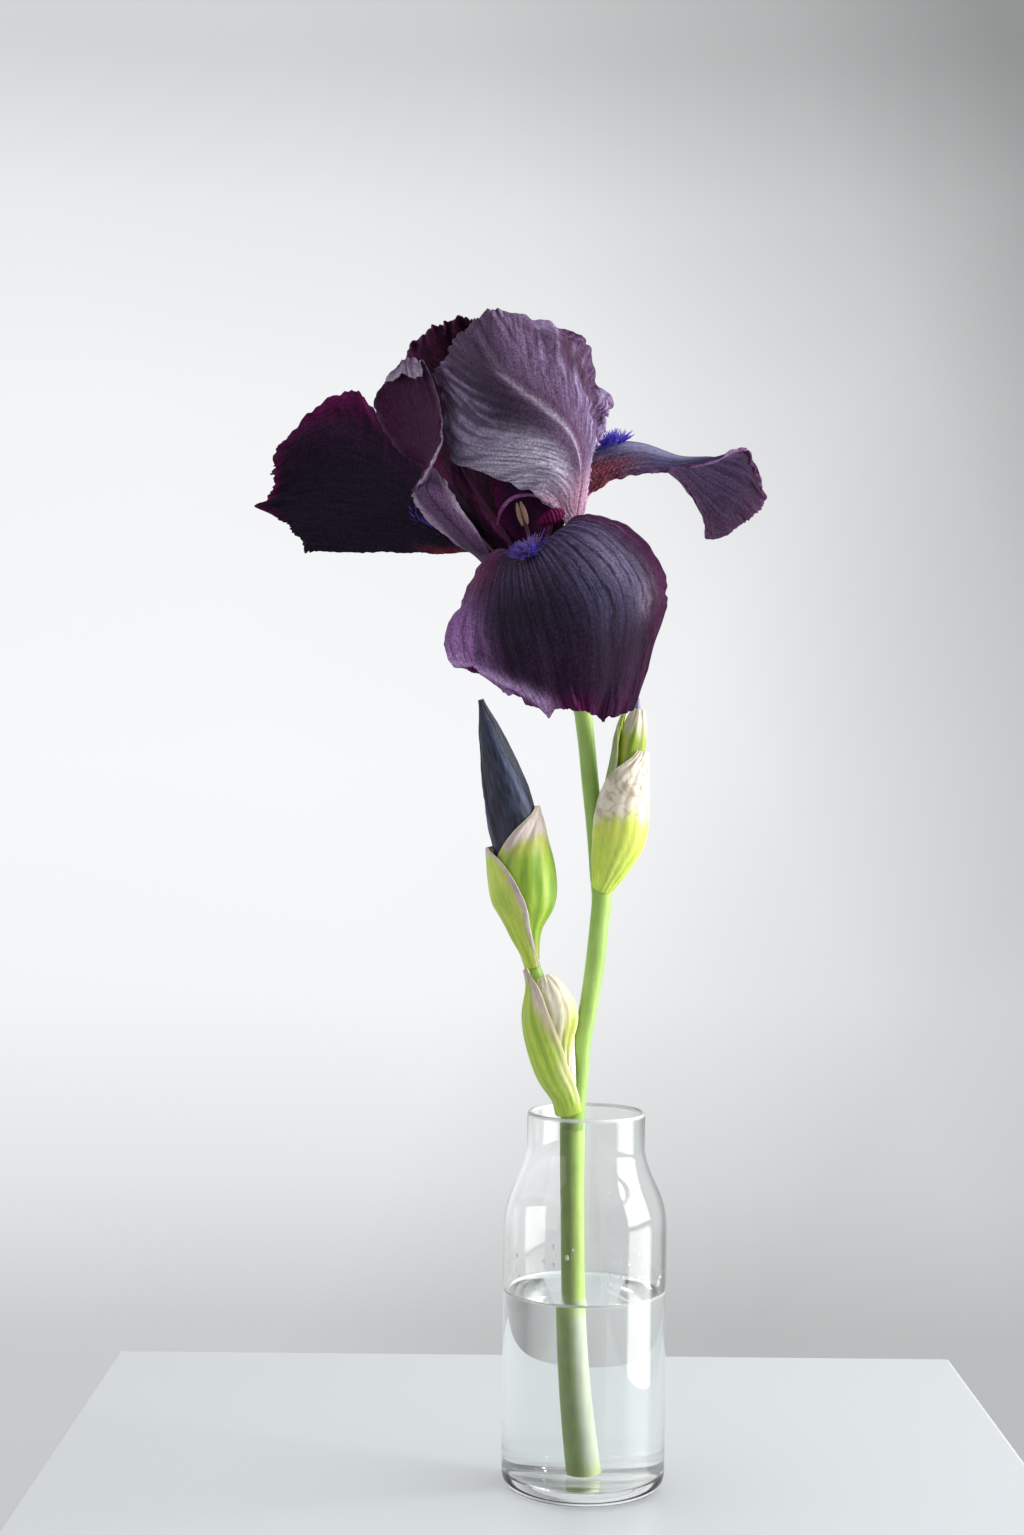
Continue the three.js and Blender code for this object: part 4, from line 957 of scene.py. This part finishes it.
crest_path = [[-17.2, -20.5, 304.4], [-13.6, -21.5, 306.3], [-9.8, -20.5, 308.2]]
crest_width = profile([0.9, 1.9, 2.3, 2.1, 1.2])


def crest_radius(s, angle):
    folds = 0.06 * np.sin(TURN * CREST_STRIPES * s + np.sin(angle))
    return crest_width(s) * (1 + folds + 0.08 * ripple(angle, s * 3, 75, 2))


def crest_colours(s, angle):
    stripe = np.sin(TURN * CREST_STRIPES * s + np.sin(angle) + ripple(angle, s * 4, 77, 2))
    return mixed(CRIMSON, NEAR_BLACK, 0.8 * ease(stripe, -0.6, 0.9))


arms.append(spindle("style_crest", crest_path, crest_radius, 60, 32, wine_finish, crest_colours))
seat(joined("style_arms", arms), "style_wine", "style")

# Stamens: a slim thread and two pollen sacs
stamen_finish = leaf_finish("cream anther", 900.0, 0.75, 0.5, 0.2)
sac_width = profile([0.3, 0.68, 0.76, 0.7, 0.3])


def sac_radius(s, angle):
    """Each sac has a shallow groove down its front and its back."""
    return sac_width(s) * (1 - 0.25 * bump(np.sin(angle), 0, 0.25))


def sac_colours(s, angle):
    return mixed(CREAM, POLLEN, 0.3 + 0.5 * bump(np.sin(angle), 0, 0.4))


def stamen(name, filament, anther):
    low, high = (np.array(p, float) for p in anther)
    low = low + (high - low) * 0.18
    ahead = (high - low) / np.linalg.norm(high - low)
    side = np.cross(ahead, (low - FLOWER_FOOT) * (1, 1, 0))
    side /= np.linalg.norm(side)
    thread = [*filament, low + (high - low) * 0.25]
    thread_look = (stamen_finish, lambda s, angle: mixed(FLESH, WINE, 0.75))
    parts = [spindle(name, thread, evenly_round(0.55, 0.55), 24, 12, *thread_look)]
    for offset in (-SAC_OFFSET, SAC_OFFSET):
        ends = [low + side * offset, (low + high) / 2 + side * offset, high + side * offset * 0.7]
        parts.append(spindle(name, ends, sac_radius, 20, 20, stamen_finish, sac_colours))
    seat(joined(name + "_anther", parts), "stamen_cream", name)


for name, parts in STAMENS.items():
    stamen(name, parts["filament"], parts["anther"])

# Beards: many short curved hairs along the rib of each fall
beard_finish = leaf_finish("beard hairs", 1500.0, 0.5, 0.1, 0.1)


def beard(name, fall, start, end, seed, count, length_share, spread, brown):
    """Hairs along the rib of a fall, brown at their start where the beard has a brown part."""
    draw = np.random.default_rng(seed)
    along, across = 200, 40
    points = petal_points(PETALS[fall], along, across)
    normals = surface_normals(points)
    places, faces, colours = [], [], []
    for _ in range(count):
        part = draw.uniform(0, 1)
        s, width = start + (end - start) * part, 0.5 + draw.normal(0, 0.035)
        i, j = int(s * along), int(np.clip(width, 0.4, 0.6) * across)
        lean = draw.normal(0, spread) + (width - 0.5) * 9
        dry = draw.uniform(0, 1) < brown * (1.3 - part)
        base, tip = (BROWN, GOLD) if dry else (VIOLET, PALE_VIOLET)
        normal = normals[i, j]
        over = points[i, min(j + 1, across)] - points[i, j - 1]
        over /= np.linalg.norm(over)
        ahead = points[min(i + 1, along), j] - points[i - 1, j]
        ahead /= np.linalg.norm(ahead)
        direction = normal + over * lean + ahead * draw.normal(0.1 + 0.7 * part, spread * 0.7)
        direction /= np.linalg.norm(direction)
        curl = (over * draw.normal(0, 0.3) + ahead * draw.normal(0.1, 0.3)) * 0.8
        length = (HAIR_LENGTH * draw.uniform(0.7, 1.25) + 0.7) * length_share
        root = points[i, j] + normal * (PETAL_WALL / 2 - 0.05)
        cross = np.cross(direction, over)
        cross /= np.linalg.norm(cross)
        wide = np.cross(cross, direction)
        first = len(places)
        for rise, thick in ((0, 0.15), (0.4, 0.13), (0.75, 0.1), (1, 0.05)):
            centre = root + direction * length * rise + curl * length * rise**2 * 0.5
            for quarter in np.radians((0, 90, 180, 270)):
                places.append(centre + (wide * math.cos(quarter) + cross * math.sin(quarter)) * thick)
                tip_share = 0.15 + 0.75 * rise * draw.uniform(0.4, 1)
                colours.append(mixed(base, tip, tip_share))
        for ring in range(first, first + 12, 4):
            for k in range(4):
                a, b = ring + k, ring + (k + 1) % 4
                faces.append((a, b, b + 4, a + 4))
        faces.append((first + 3, first + 2, first + 1, first))
        faces.append((first + 12, first + 13, first + 14, first + 15))
    mesh = bpy.data.meshes.new(name + "_hairs")
    mesh.from_pydata([tuple(p * MM) for p in places], [], faces)
    piece = bpy.data.objects.new(name + "_hairs", mesh)
    bpy.context.scene.collection.objects.link(piece)
    tint(piece, np.array(colours))
    mesh.materials.append(beard_finish)
    pick(piece)
    turn_faces_out(merge=False)
    seat(piece, "beard_violet", name)


for name, (fall, start, end, seed, *way) in BEARDS.items():
    beard(name, fall, start, end, seed, *way)


# Colours of the stem, the bracts and the buds
STEM_GREEN = colour_of("a0c96a")
DEEP_GREEN = colour_of("6fa044")
PALE_GREEN = colour_of("c9dd6c")
REFLECTION_SILVER = colour_of("e9f2e0")
LIME = colour_of("cadd55")
BRIGHT_LIME = colour_of("dcef68")
LEAF = colour_of("7ba52e")
GREY_GREEN = colour_of("a9b58c")
YELLOW = colour_of("d9cf5a")
PAPER = colour_of("ddd3bb")
IVORY = colour_of("efe9dc")
OLD_PAPER = colour_of("ece4cc")
WHITE_PAPER = colour_of("f2eee2")
STRAW = colour_of("c9b58c")
TAN = colour_of("a98f6c")
RUST = colour_of("b4742c")
MAUVE_PAPER = colour_of("bfa9b2")
NAVY = colour_of("20243a")
DUSK = colour_of("485577")
BUD_HIGHLIGHT = colour_of("7c8bb0")
PALE_INSIDE = mixed(LIME, PAPER, 0.5)

stem_finish = leaf_finish("iris stem", 700.0, 0.42, 0.3, 0.14)
bract_finish = leaf_finish("green bract", 1100.0, 0.45, 0.35, 0.16)
paper_finish = leaf_finish("papery bract", 1300.0, 0.6, 0.6, 0.18)
bud_finish = leaf_finish("navy bud", 900.0, 0.6, 0.5, 0.35)


# Green parts
def stem_colours(s, angle):
    c = mixed(STEM_GREEN, DEEP_GREEN, 0.35 * (0.5 + 0.5 * ripple(angle / 2, s * 4, 81, 3)))
    # Painted light: paler on the side that faces the front
    return mixed(c, PALE_GREEN, 0.25 * (0.5 + 0.5 * np.cos(angle)))


def cane_colours(s, angle):
    """The cut stalk: painted lighter green than the stem above, as painted light; below the water its right
    side has a film of air, painted silver as its painted reflection.
    """
    reflection_part = ease(s, 0.5, 0.44) * ease(np.sin(angle + 0.2), -0.1, 0.5)
    painted_lit_green = np.clip(stem_colours(s, angle) * 1.65, 0, 0.92)
    c = mixed(painted_lit_green, REFLECTION_SILVER, 0.85 * reflection_part)
    return mixed(c, LIME, 0.6 * ease(s, 0.05, 0.0))


stem_look = (stem_finish, stem_colours)
cane_width = evenly_round(4, 3.8, 3.7, 3.7, 3.8)
stem_width = evenly_round(3.5, 2.95, 2.8, 2.8, 2.9, 3.05, 3, 3.3, 2.9, 2.7, 2.7, 2.7, 2.8)
branch_width = evenly_round(2.4, 2.1, 2, 2, 2.1)
canes = [
    spindle("stalk_cane", STALK_PATH, cane_width, 90, 48, stem_finish, cane_colours),
    spindle("stalk_stem", STEM_PATH, stem_width, 120, 40, *stem_look),
    spindle("stalk_branch", BRANCH_PATH, branch_width, 50, 32, *stem_look),
    spindle("stalk_stub", BUD_STUB_PATH, evenly_round(1.6, 1.6), 10, 24, *stem_look),
]
seat(joined("iris_stalk", canes), "stem_green", "stalk")

tube_width = profile([2.8, 3.5, 3.5, 2.7, 2.7, 3.6, 6])


def tube_radius(s, angle):
    """The ovary has three soft ribs."""
    return tube_width(s) * (1 + 0.06 * np.cos(3 * angle) * ease(s, 0, 0.1))


def tube_colours(s, angle):
    return mixed(stem_colours(s, angle), mixed(WINE, FLESH, 0.3), ease(s, 0.55, 0.95))


tube = spindle("ovary_and_tube", TUBE_PATH, tube_radius, 60, 48, stem_finish, tube_colours)
seat(tube, "stem_green", "flower_tube")

bud_width = profile([1.2, 2.6, 7, 8.3, 8.1, 7.7, 6.9, 5.2, 3.3, 0.9])
small_bud_width = profile([1.3, 2.8, 3.5, 3.4, 2.8, 0.6])
valve_width = profile([2.1, 4.4, 9, 9.9, 9.1, 8.8, 7.9, 6, 4, 1.6])


def rolled(angle, s, turns, depth):
    """The step where one of a furled bud's three rolled petals overlaps the next."""
    place = (angle / TURN * 3 + turns * s) % 1
    step = depth * (ease(place, 0.0, 0.9) - 0.5) * ease(s, 1.0, 0.9)
    return 1 + step - depth * 0.5 * ease(place, 0.93, 1)


def creased(s, angle):
    return ripple(angle * 3 + 4 * s, s * 5, 91, 4)


def bud_radius(s, angle):
    return bud_width(s) * rolled(angle, s, 0.9, 0.09) * (1 + 0.025 * creased(s, angle))


def small_bud_radius(s, angle):
    return small_bud_width(s) * rolled(angle, s, 0.8, 0.06)


def bud_colours(s, angle):
    """Navy with painted light and shade: lighter on the creases' ridges and towards each petal's edge,
    painted shade in the creases and along each petal's edge, and a painted highlight beside it.
    """
    place = (angle / TURN * 3 + 0.9 * s) % 1
    crease = creased(s, angle)
    # Painted light on the ridges, painted shade in the creases and at the overlapping edges, and a painted
    # highlight beside them
    c = mixed(NAVY, DUSK, np.clip(0.45 * ease(place, 0.2, 0.9) + 0.4 * crease, 0, 1) * 0.75)
    c = mixed(c, NEAR_BLACK, 0.6 * ease(-crease, 0.1, 0.5))
    c = mixed(c, BUD_HIGHLIGHT, 0.3 * bump(place, 0.86, 0.06) * ease(s, 0.3, 0.5))
    c = mixed(c, NEAR_BLACK, 0.85 * bump(np.minimum(place, 1 - place), 0, 0.025))
    return mixed(c, mixed(INK, MAUVE, 0.25 * streaks(angle, s, 3, 92)), 0.7 * ease(s, 0.6, 0.4))


def small_bud_colours(s, angle):
    return mixed(DUSK, SILVER, 0.5 * ease(s, 0.8, 1))


side_bud = spindle("furled_side_bud", BUD_PATH, bud_radius, 150, 120, bud_finish, bud_colours)
seat(side_bud, "bud_navy", "side_bud")
small_bud = spindle("small_bud_tip", SMALL_BUD_PATH, small_bud_radius, 80, 48, bud_finish, small_bud_colours)
seat(small_bud, "bud_navy", "small_bud")


# Bracts: boat-shaped blades with papery margins
def bract(name, points, slot, finish, colours, seed, ribs=9):
    """Finishes one bract: low ribs, a crumpled top and margins, and the colours of its two faces."""
    s, t = grid_places(points)
    lift = 0.1 * np.sin(TURN * ribs * (t + 0.01 * ripple(s, t, seed, 2))) * ease(s, 0.02, 0.15)
    dry_part = np.maximum(ease(s, 0.5, 0.9), ease(side_of(t), 0.7, 1))
    lift = lift + 0.22 * ripple(t * 5, s * 2.5, seed + 1, 3) * dry_part
    outer, inner = colours(s, t)
    seat(blade(name + "_leaf", raised(points, lift), BRACT_WALL, (inner, outer), finish), slot, name)


def right_valve_colours(s, t):
    c = mixed(LIME, LEAF, 0.45 + 0.55 * streaks(t, s, 7, 101))
    c = mixed(c, mixed(YELLOW, STRAW, 0.4), 0.55 * ease(s, 0.66, 0.8) + 0.25 * ease(s, 0.2, 0.05))
    top = ease(s + 0.04 * ripple(t * 6, s, 102, 3), 0.76, 0.84)
    return mixed(c, mixed(MAUVE_PAPER, PAPER, streaks(t, s, 16, 103)), top), PALE_INSIDE


def left_valve_colours(s, t):
    c = mixed(LIME, LEAF, 0.6 * streaks(t, s, 6, 111))
    c = mixed(c, PALE_GREEN, 0.3 * ease(s, 0.3, 0.8))
    margin = ease(t + 0.015 * ripple(s * 7, t, 112, 3), 0.92, 0.97)
    c = mixed(c, mixed(STRAW, YELLOW, 0.5), 0.35 * ease(t, 0.8, 0.93))
    top = np.maximum(margin, ease(s, 0.88, 0.97))
    return mixed(c, mixed(MAUVE_PAPER, PAPER, streaks(t, s, 12, 113)), top), PALE_INSIDE


def lower_left_colours(s, t):
    c = mixed(LIME, LEAF, 0.2 + 0.6 * streaks(t, s, 8, 121))
    c = mixed(c, PALE_GREEN, 0.2 * streaks(t, s, 14, 122))
    margin = t + 0.05 * ripple(s * 6, t, 123, 3) + 0.12 * ease(s, 0.5, 0.9)
    dry_part = np.maximum(ease(margin, 0.8, 1.0) * ease(s, 0.02, 0.2), ease(s, 0.84, 0.98))
    dry = mixed(PAPER, STRAW, streaks(t, s, 26, 124))
    dry = mixed(dry, LIME, 0.35 * ease(s, 0.7, 0.3))
    dry = mixed(dry, MAUVE_PAPER, 0.5 * ease(s, 0.6, 0.9))
    return mixed(c, dry, dry_part), PALE_INSIDE


def lower_right_colours(s, t):
    dry = mixed(PAPER, IVORY, 0.7 * streaks(t, s, 18, 131))
    patch = np.clip(1.2 * bump(t, 0.6, 0.15) * bump(s, 0.46, 0.2), 0, 0.95)
    c = mixed(dry, mixed(YELLOW, LEAF, 0.3 + 0.4 * streaks(t, s, 8, 132)), patch)
    return mixed(c, TAN, 0.3 * ease(s, 0.75, 1) * streaks(t, s, 9, 133)), dry


def sheath_colours(s, t):
    """Lime below and dry above, with slanting wrinkles and one brown spot."""
    c = mixed(BRIGHT_LIME, LEAF, 0.3 * streaks(t, s, 7, 141))
    c = mixed(c, YELLOW, 0.35 * ease(s, 0.35, 0.55))
    dry_part = ease(s + 0.05 * ripple(t * 5, s, 142, 3) - 0.08 * (t - 0.5), 0.56, 0.68)
    dry = mixed(OLD_PAPER, TAN, 0.7 * ease(ripple(s * 9 + t * 4, t * 2.5, 143, 4), -0.1, 0.6))
    dry = mixed(dry, WHITE_PAPER, 0.4 * streaks(t, s, 20, 144))
    line = np.sin(TURN * (11 * s - 4 * t + 0.5 * ripple(s * 4, t * 4, 146, 2)))
    dry = mixed(dry, TAN, 0.6 * ease(line, 0.6, 1) * streaks(t, s * 3, 5, 147))
    spot = bump(t, 0.83, 0.035) * bump(s, 0.64, 0.03)
    return mixed(mixed(c, dry, dry_part), RUST, spot), PALE_INSIDE


def inner_bract_colours(s, t):
    c = mixed(LEAF, GREY_GREEN, 0.6 * ease(s, 0.3, 0.7))
    return mixed(c, PAPER, np.maximum(ease(s, 0.82, 1), 0.6 * ease(side_of(t), 0.8, 1))), LIME


def small_bract_colours(s, t):
    c = mixed(LEAF, YELLOW, 0.6 * streaks(t, s, 6, 151))
    return mixed(c, PAPER, ease(s + 0.03 * ripple(t * 5, s, 152, 3), 0.78, 0.92)), LIME


green = ("bract_green", bract_finish)
valve_right = wrapped_points(
    BUD_PATH, valve_width,
    [-75, -75, -75, -75, -75, -68, -48, -6, 62],
    [190, 190, 190, 190, 190, 190, 180, 165, 140],
    110, 120, 0.005, 0.57,
)
bract("side_bract_right", valve_right, *green, right_valve_colours, 104)

valve_left = wrapped_points(
    BUD_PATH,
    lambda at: valve_width(at) + FOOT_LAYER + (LAYER - FOOT_LAYER) * ease(at, 0.02, 0.12),
    [-190, -190, -190, -190, -188, -182, -172, -158, -130],
    [35, 20, 10, 4, -2, -11, -22, -39, -66],
    110, 100, 0.005, 0.46,
)
s, t = grid_places(valve_left)
valve_left += ease(s, 0.06, 0.0)[..., None] * (0.7, -0.5, -2.2)
bract("side_bract_left", valve_left, *green, left_valve_colours, 114)

lower_left = wrapped_points(
    OUTER_NODE_PATH, profile([4.7, 5, 6.4, 7.6, 7.6, 5, 2.6]),
    [-150, -160, -165, -165, -160, -140, -110],
    [50, 42, 38, 22, 6, -8, -30],
    110, 90,
)
bract("lower_bract_left", lower_left, *green, lower_left_colours, 125)

lower_right = wrapped_points(
    INNER_NODE_PATH, profile([3.7, 4.3, 5.2, 6.4, 5, 2.8]),
    [-20, -50, -80, -90, -80, -40],
    [55, 74, 120, 150, 150, 130],
    90, 90,
)
bract("lower_bract_right", lower_right, "bract_papery", paper_finish, lower_right_colours, 135)

sheath = wrapped_points(
    SHEATH_PATH, profile([3.6, 4.4, 6.8, 8.3, 8.3, 7.3, 5.8]),
    [-70, -70, -84, -84, -78, -45, 20],
    [110, 110, 130, 140, 140, 130, 110],
    120, 100,
)
bract("upper_sheath", sheath, *green, sheath_colours, 145)

inner_bract = wrapped_points(
    SMALL_BUD_PATH, profile([3.2, 5.2, 6.6, 6.1, 5.4, 3.2]),
    [-160, -165, -165, -160, -130],
    [-20, -20, -35, -50, -80],
    90, 50, 0.04, 0.9,
)
bract("upper_inner_bract", inner_bract, *green, inner_bract_colours, 155)

small_bract = wrapped_points(
    SMALL_BUD_PATH, lambda at: small_bud_width(at) + BUD_LAYER,
    [-150, -150, -150, -120, -60],
    [170, 170, 160, 140, 100],
    90, 70, 0.05, 0.93,
)
bract("small_bud_bract", small_bract, *green, small_bract_colours, 165, 4)

# Vase and water
glass_finish = clear_finish("clear glass", 1.42, 0.04, VASE_HEIGHT - 1.4)
water_finish = clear_finish("water", 1.33, 0.0, WATER_LEVEL + 0.1)

inside = BODY_RADIUS - GLASS_WALL
bore = NECK_RADIUS - GLASS_WALL
lip = VASE_HEIGHT - 1.3
vase_outline = bend(
    (0, 0.9),
    [(FOOT_RADIUS - 6, 0.9)],
    [(FOOT_RADIUS - 2.4, 0.8), (FOOT_RADIUS - 2.0, 0)],
    [(FOOT_RADIUS, 0)],
    [(BODY_RADIUS, 0), (BODY_RADIUS, HEEL)],
    [(BODY_RADIUS, SHOULDER_LOW)],
    [(BODY_RADIUS, 94), (20, 98), (NECK_RADIUS, SHOULDER_HIGH)],
    [(NECK_RADIUS, lip)],
    [(NECK_RADIUS, VASE_HEIGHT), (NECK_RADIUS - GLASS_WALL / 2, VASE_HEIGHT)],
    [(bore, VASE_HEIGHT), (bore, lip)],
    [(bore, SHOULDER_HIGH)],
    [(20 - GLASS_WALL, 98), (inside, 94), (inside, SHOULDER_LOW)],
    [(inside, GLASS_FLOOR + 4)],
    [(inside, GLASS_FLOOR), (inside - 4, GLASS_FLOOR)],
    [(0, GLASS_FLOOR)],
)
bottle = seat(turned("glass_bottle", vase_outline, glass_finish), "glass", "vase")
bottle.visible_shadow = False

# The water overlaps the glass by a hair's breadth, so that no air shows between them
wet, wet_floor = inside + OVERLAP, GLASS_FLOOR - OVERLAP
water_outline = bend(
    (0, wet_floor),
    [(wet - 4, wet_floor)],
    [(wet, wet_floor), (wet, GLASS_FLOOR + 4)],
    [(wet, WATER_LEVEL + 1.3)],
    [(inside - 0.3, WATER_LEVEL + 0.2), (inside - 2.4, WATER_LEVEL)],
    [(0, WATER_LEVEL)],
)
water_parts = [turned("water_body", water_outline, water_finish)]

# Drops that cling to the inside of the glass above the water
draw = np.random.default_rng(7)
for _ in range(26):
    turn = math.radians(draw.choice([200, 235, 255, 300, 335]) + draw.uniform(-14, 14))
    size = draw.uniform(0.3, 0.8)
    bpy.ops.object.select_all(action="DESELECT")
    bpy.ops.mesh.primitive_uv_sphere_add(segments=16, ring_count=10, radius=1)
    drop = named("drop")
    ball = corners(drop) * (0.45 * size, size, size * draw.uniform(1.0, 1.5))
    ball[:, 0] += inside + 0.02 - 0.45 * size
    x = ball[:, 0] * math.cos(turn) - ball[:, 1] * math.sin(turn)
    y = ball[:, 0] * math.sin(turn) + ball[:, 1] * math.cos(turn)
    height = draw.uniform(WATER_LEVEL + 3, SHOULDER_LOW - 1)
    shape(drop, np.stack([x, y, ball[:, 2] + height], axis=1))
    drop.data.materials.append(water_finish)
    bpy.ops.object.shade_smooth()
    water_parts.append(drop)
seat(joined("water_body", water_parts), "water", "water").visible_shadow = False

# Setting: a pale table top in a soft room, with daylight from the right
table_finish, _, _ = new_finish("pale table", Roughness=0.35, Base_Color=(0.62, 0.65, 0.67, 1))
bpy.ops.object.select_all(action="DESELECT")
bpy.ops.mesh.primitive_cube_add(size=1)
table = named("table_top")
shape(table, corners(table) * TABLE_SIZE + TABLE_MIDDLE)
table.data.materials.append(table_finish)
finish_modifier(table, "BEVEL", width=1.5 * MM, segments=3)

world = bpy.data.worlds.new("soft room")
world.use_nodes = True
bpy.context.scene.world = world
room = world.node_tree
toward = node(room, "TexCoord", {}, "Generated")

# The room's shade along some axes: places from -1 to 1 and their brightness
SHADES = {
    (1, 0, 0.45): [
        (-1, 0.95), (-0.1, 1), (0.03, 0.98), (0.11, 0.93), (0.19, 0.79), (0.25, 0.69), (0.34, 0.44),
        (0.5, 0.6), (0.8, 1),
    ],
    (0, 0, 1): [
        (-1, 0.6), (-0.4, 0.6), (-0.24, 0.64), (-0.18, 0.83), (-0.1, 0.975), (0, 1), (0.16, 0.96),
        (0.24, 0.88), (0.3, 0.7), (1, 0.95),
    ],
    (0, 1, 0): [(-1, 0.55), (-0.5, 0.68), (0, 1), (0.6, 1), (1, 1)],
    (1, 0, -0.6): [(-1, 1), (0.05, 1), (0.14, 0.9), (0.25, 0.83), (0.33, 0.88), (0.5, 0.95), (1, 1)],
}
daylight = (0.936, 0.947, 0.958)
for axis, shades in SHADES.items():
    run = node(room, "VectorMath", {0: toward, 1: axis}, "Value", operation="DOT_PRODUCT")
    bands = room.nodes.new("ShaderNodeValToRGB")
    room.links.new(drawn_out(room, run, -1.0, 1.0), bands.inputs["Fac"])
    for where, _ in shades[1:-1]:
        bands.color_ramp.elements.new((where + 1) / 2)
    for stop, (where, shade) in zip(bands.color_ramp.elements, shades):
        stop.position = (where + 1) / 2
        stop.color = (shade, shade, shade, 1)
    daylight = product(room, bands.outputs["Color"], daylight, "VectorMath")
room.links.new(daylight, room.nodes["Background"].inputs["Color"])


def lamp(name, place, aim, size, power):
    """A rectangular window of light that faces what it aims at."""
    data = bpy.data.lights.new(name, "AREA")
    data.shape = "RECTANGLE"
    data.size, data.size_y = size
    data.energy = power
    made = bpy.data.objects.new(name, data)
    made.location = place
    made.rotation_mode = "QUATERNION"
    made.rotation_quaternion = (Vector(aim) - Vector(place)).to_track_quat("-Z", "Y")
    bpy.context.scene.collection.objects.link(made)


lamp("window_upper", (0.95, -0.12, 0.86), (0, 0, 0.24), (0.8, 0.44), 10.5)
lamp("window_lower", (1.05, -0.12, 0.36), (0, 0, 0.24), (0.8, 0.44), 9)
lamp("window_sill", (1.05, -0.12, -0.12), (0, 0, 0.1), (0.8, 0.34), 4)
lamp("fill_left", (-1.1, -0.7, 0.5), (0, 0, 0.25), (0.8, 0.8), 2)

# Camera: level, in front of the bloom and a little to its left
camera_data = bpy.data.cameras.new("camera")
camera_data.lens = LENS_LENGTH
camera_data.sensor_width = SENSOR_WIDTH
camera_data.clip_start = 0.01
camera = bpy.data.objects.new("camera", camera_data)
camera.location = [place * MM for place in CAMERA_PLACE]
camera.rotation_euler = (math.radians(90), math.radians(CAMERA_ROLL), 0)
bpy.context.scene.collection.objects.link(camera)
bpy.context.scene.camera = camera

# Plain colours, and light that gets through the many walls of the bottle and the water
bpy.context.scene.view_settings.view_transform = "Standard"
bpy.context.scene.cycles.max_bounces = 28
bpy.context.scene.cycles.transmission_bounces = 28
bpy.context.scene.cycles.caustics_refractive = False
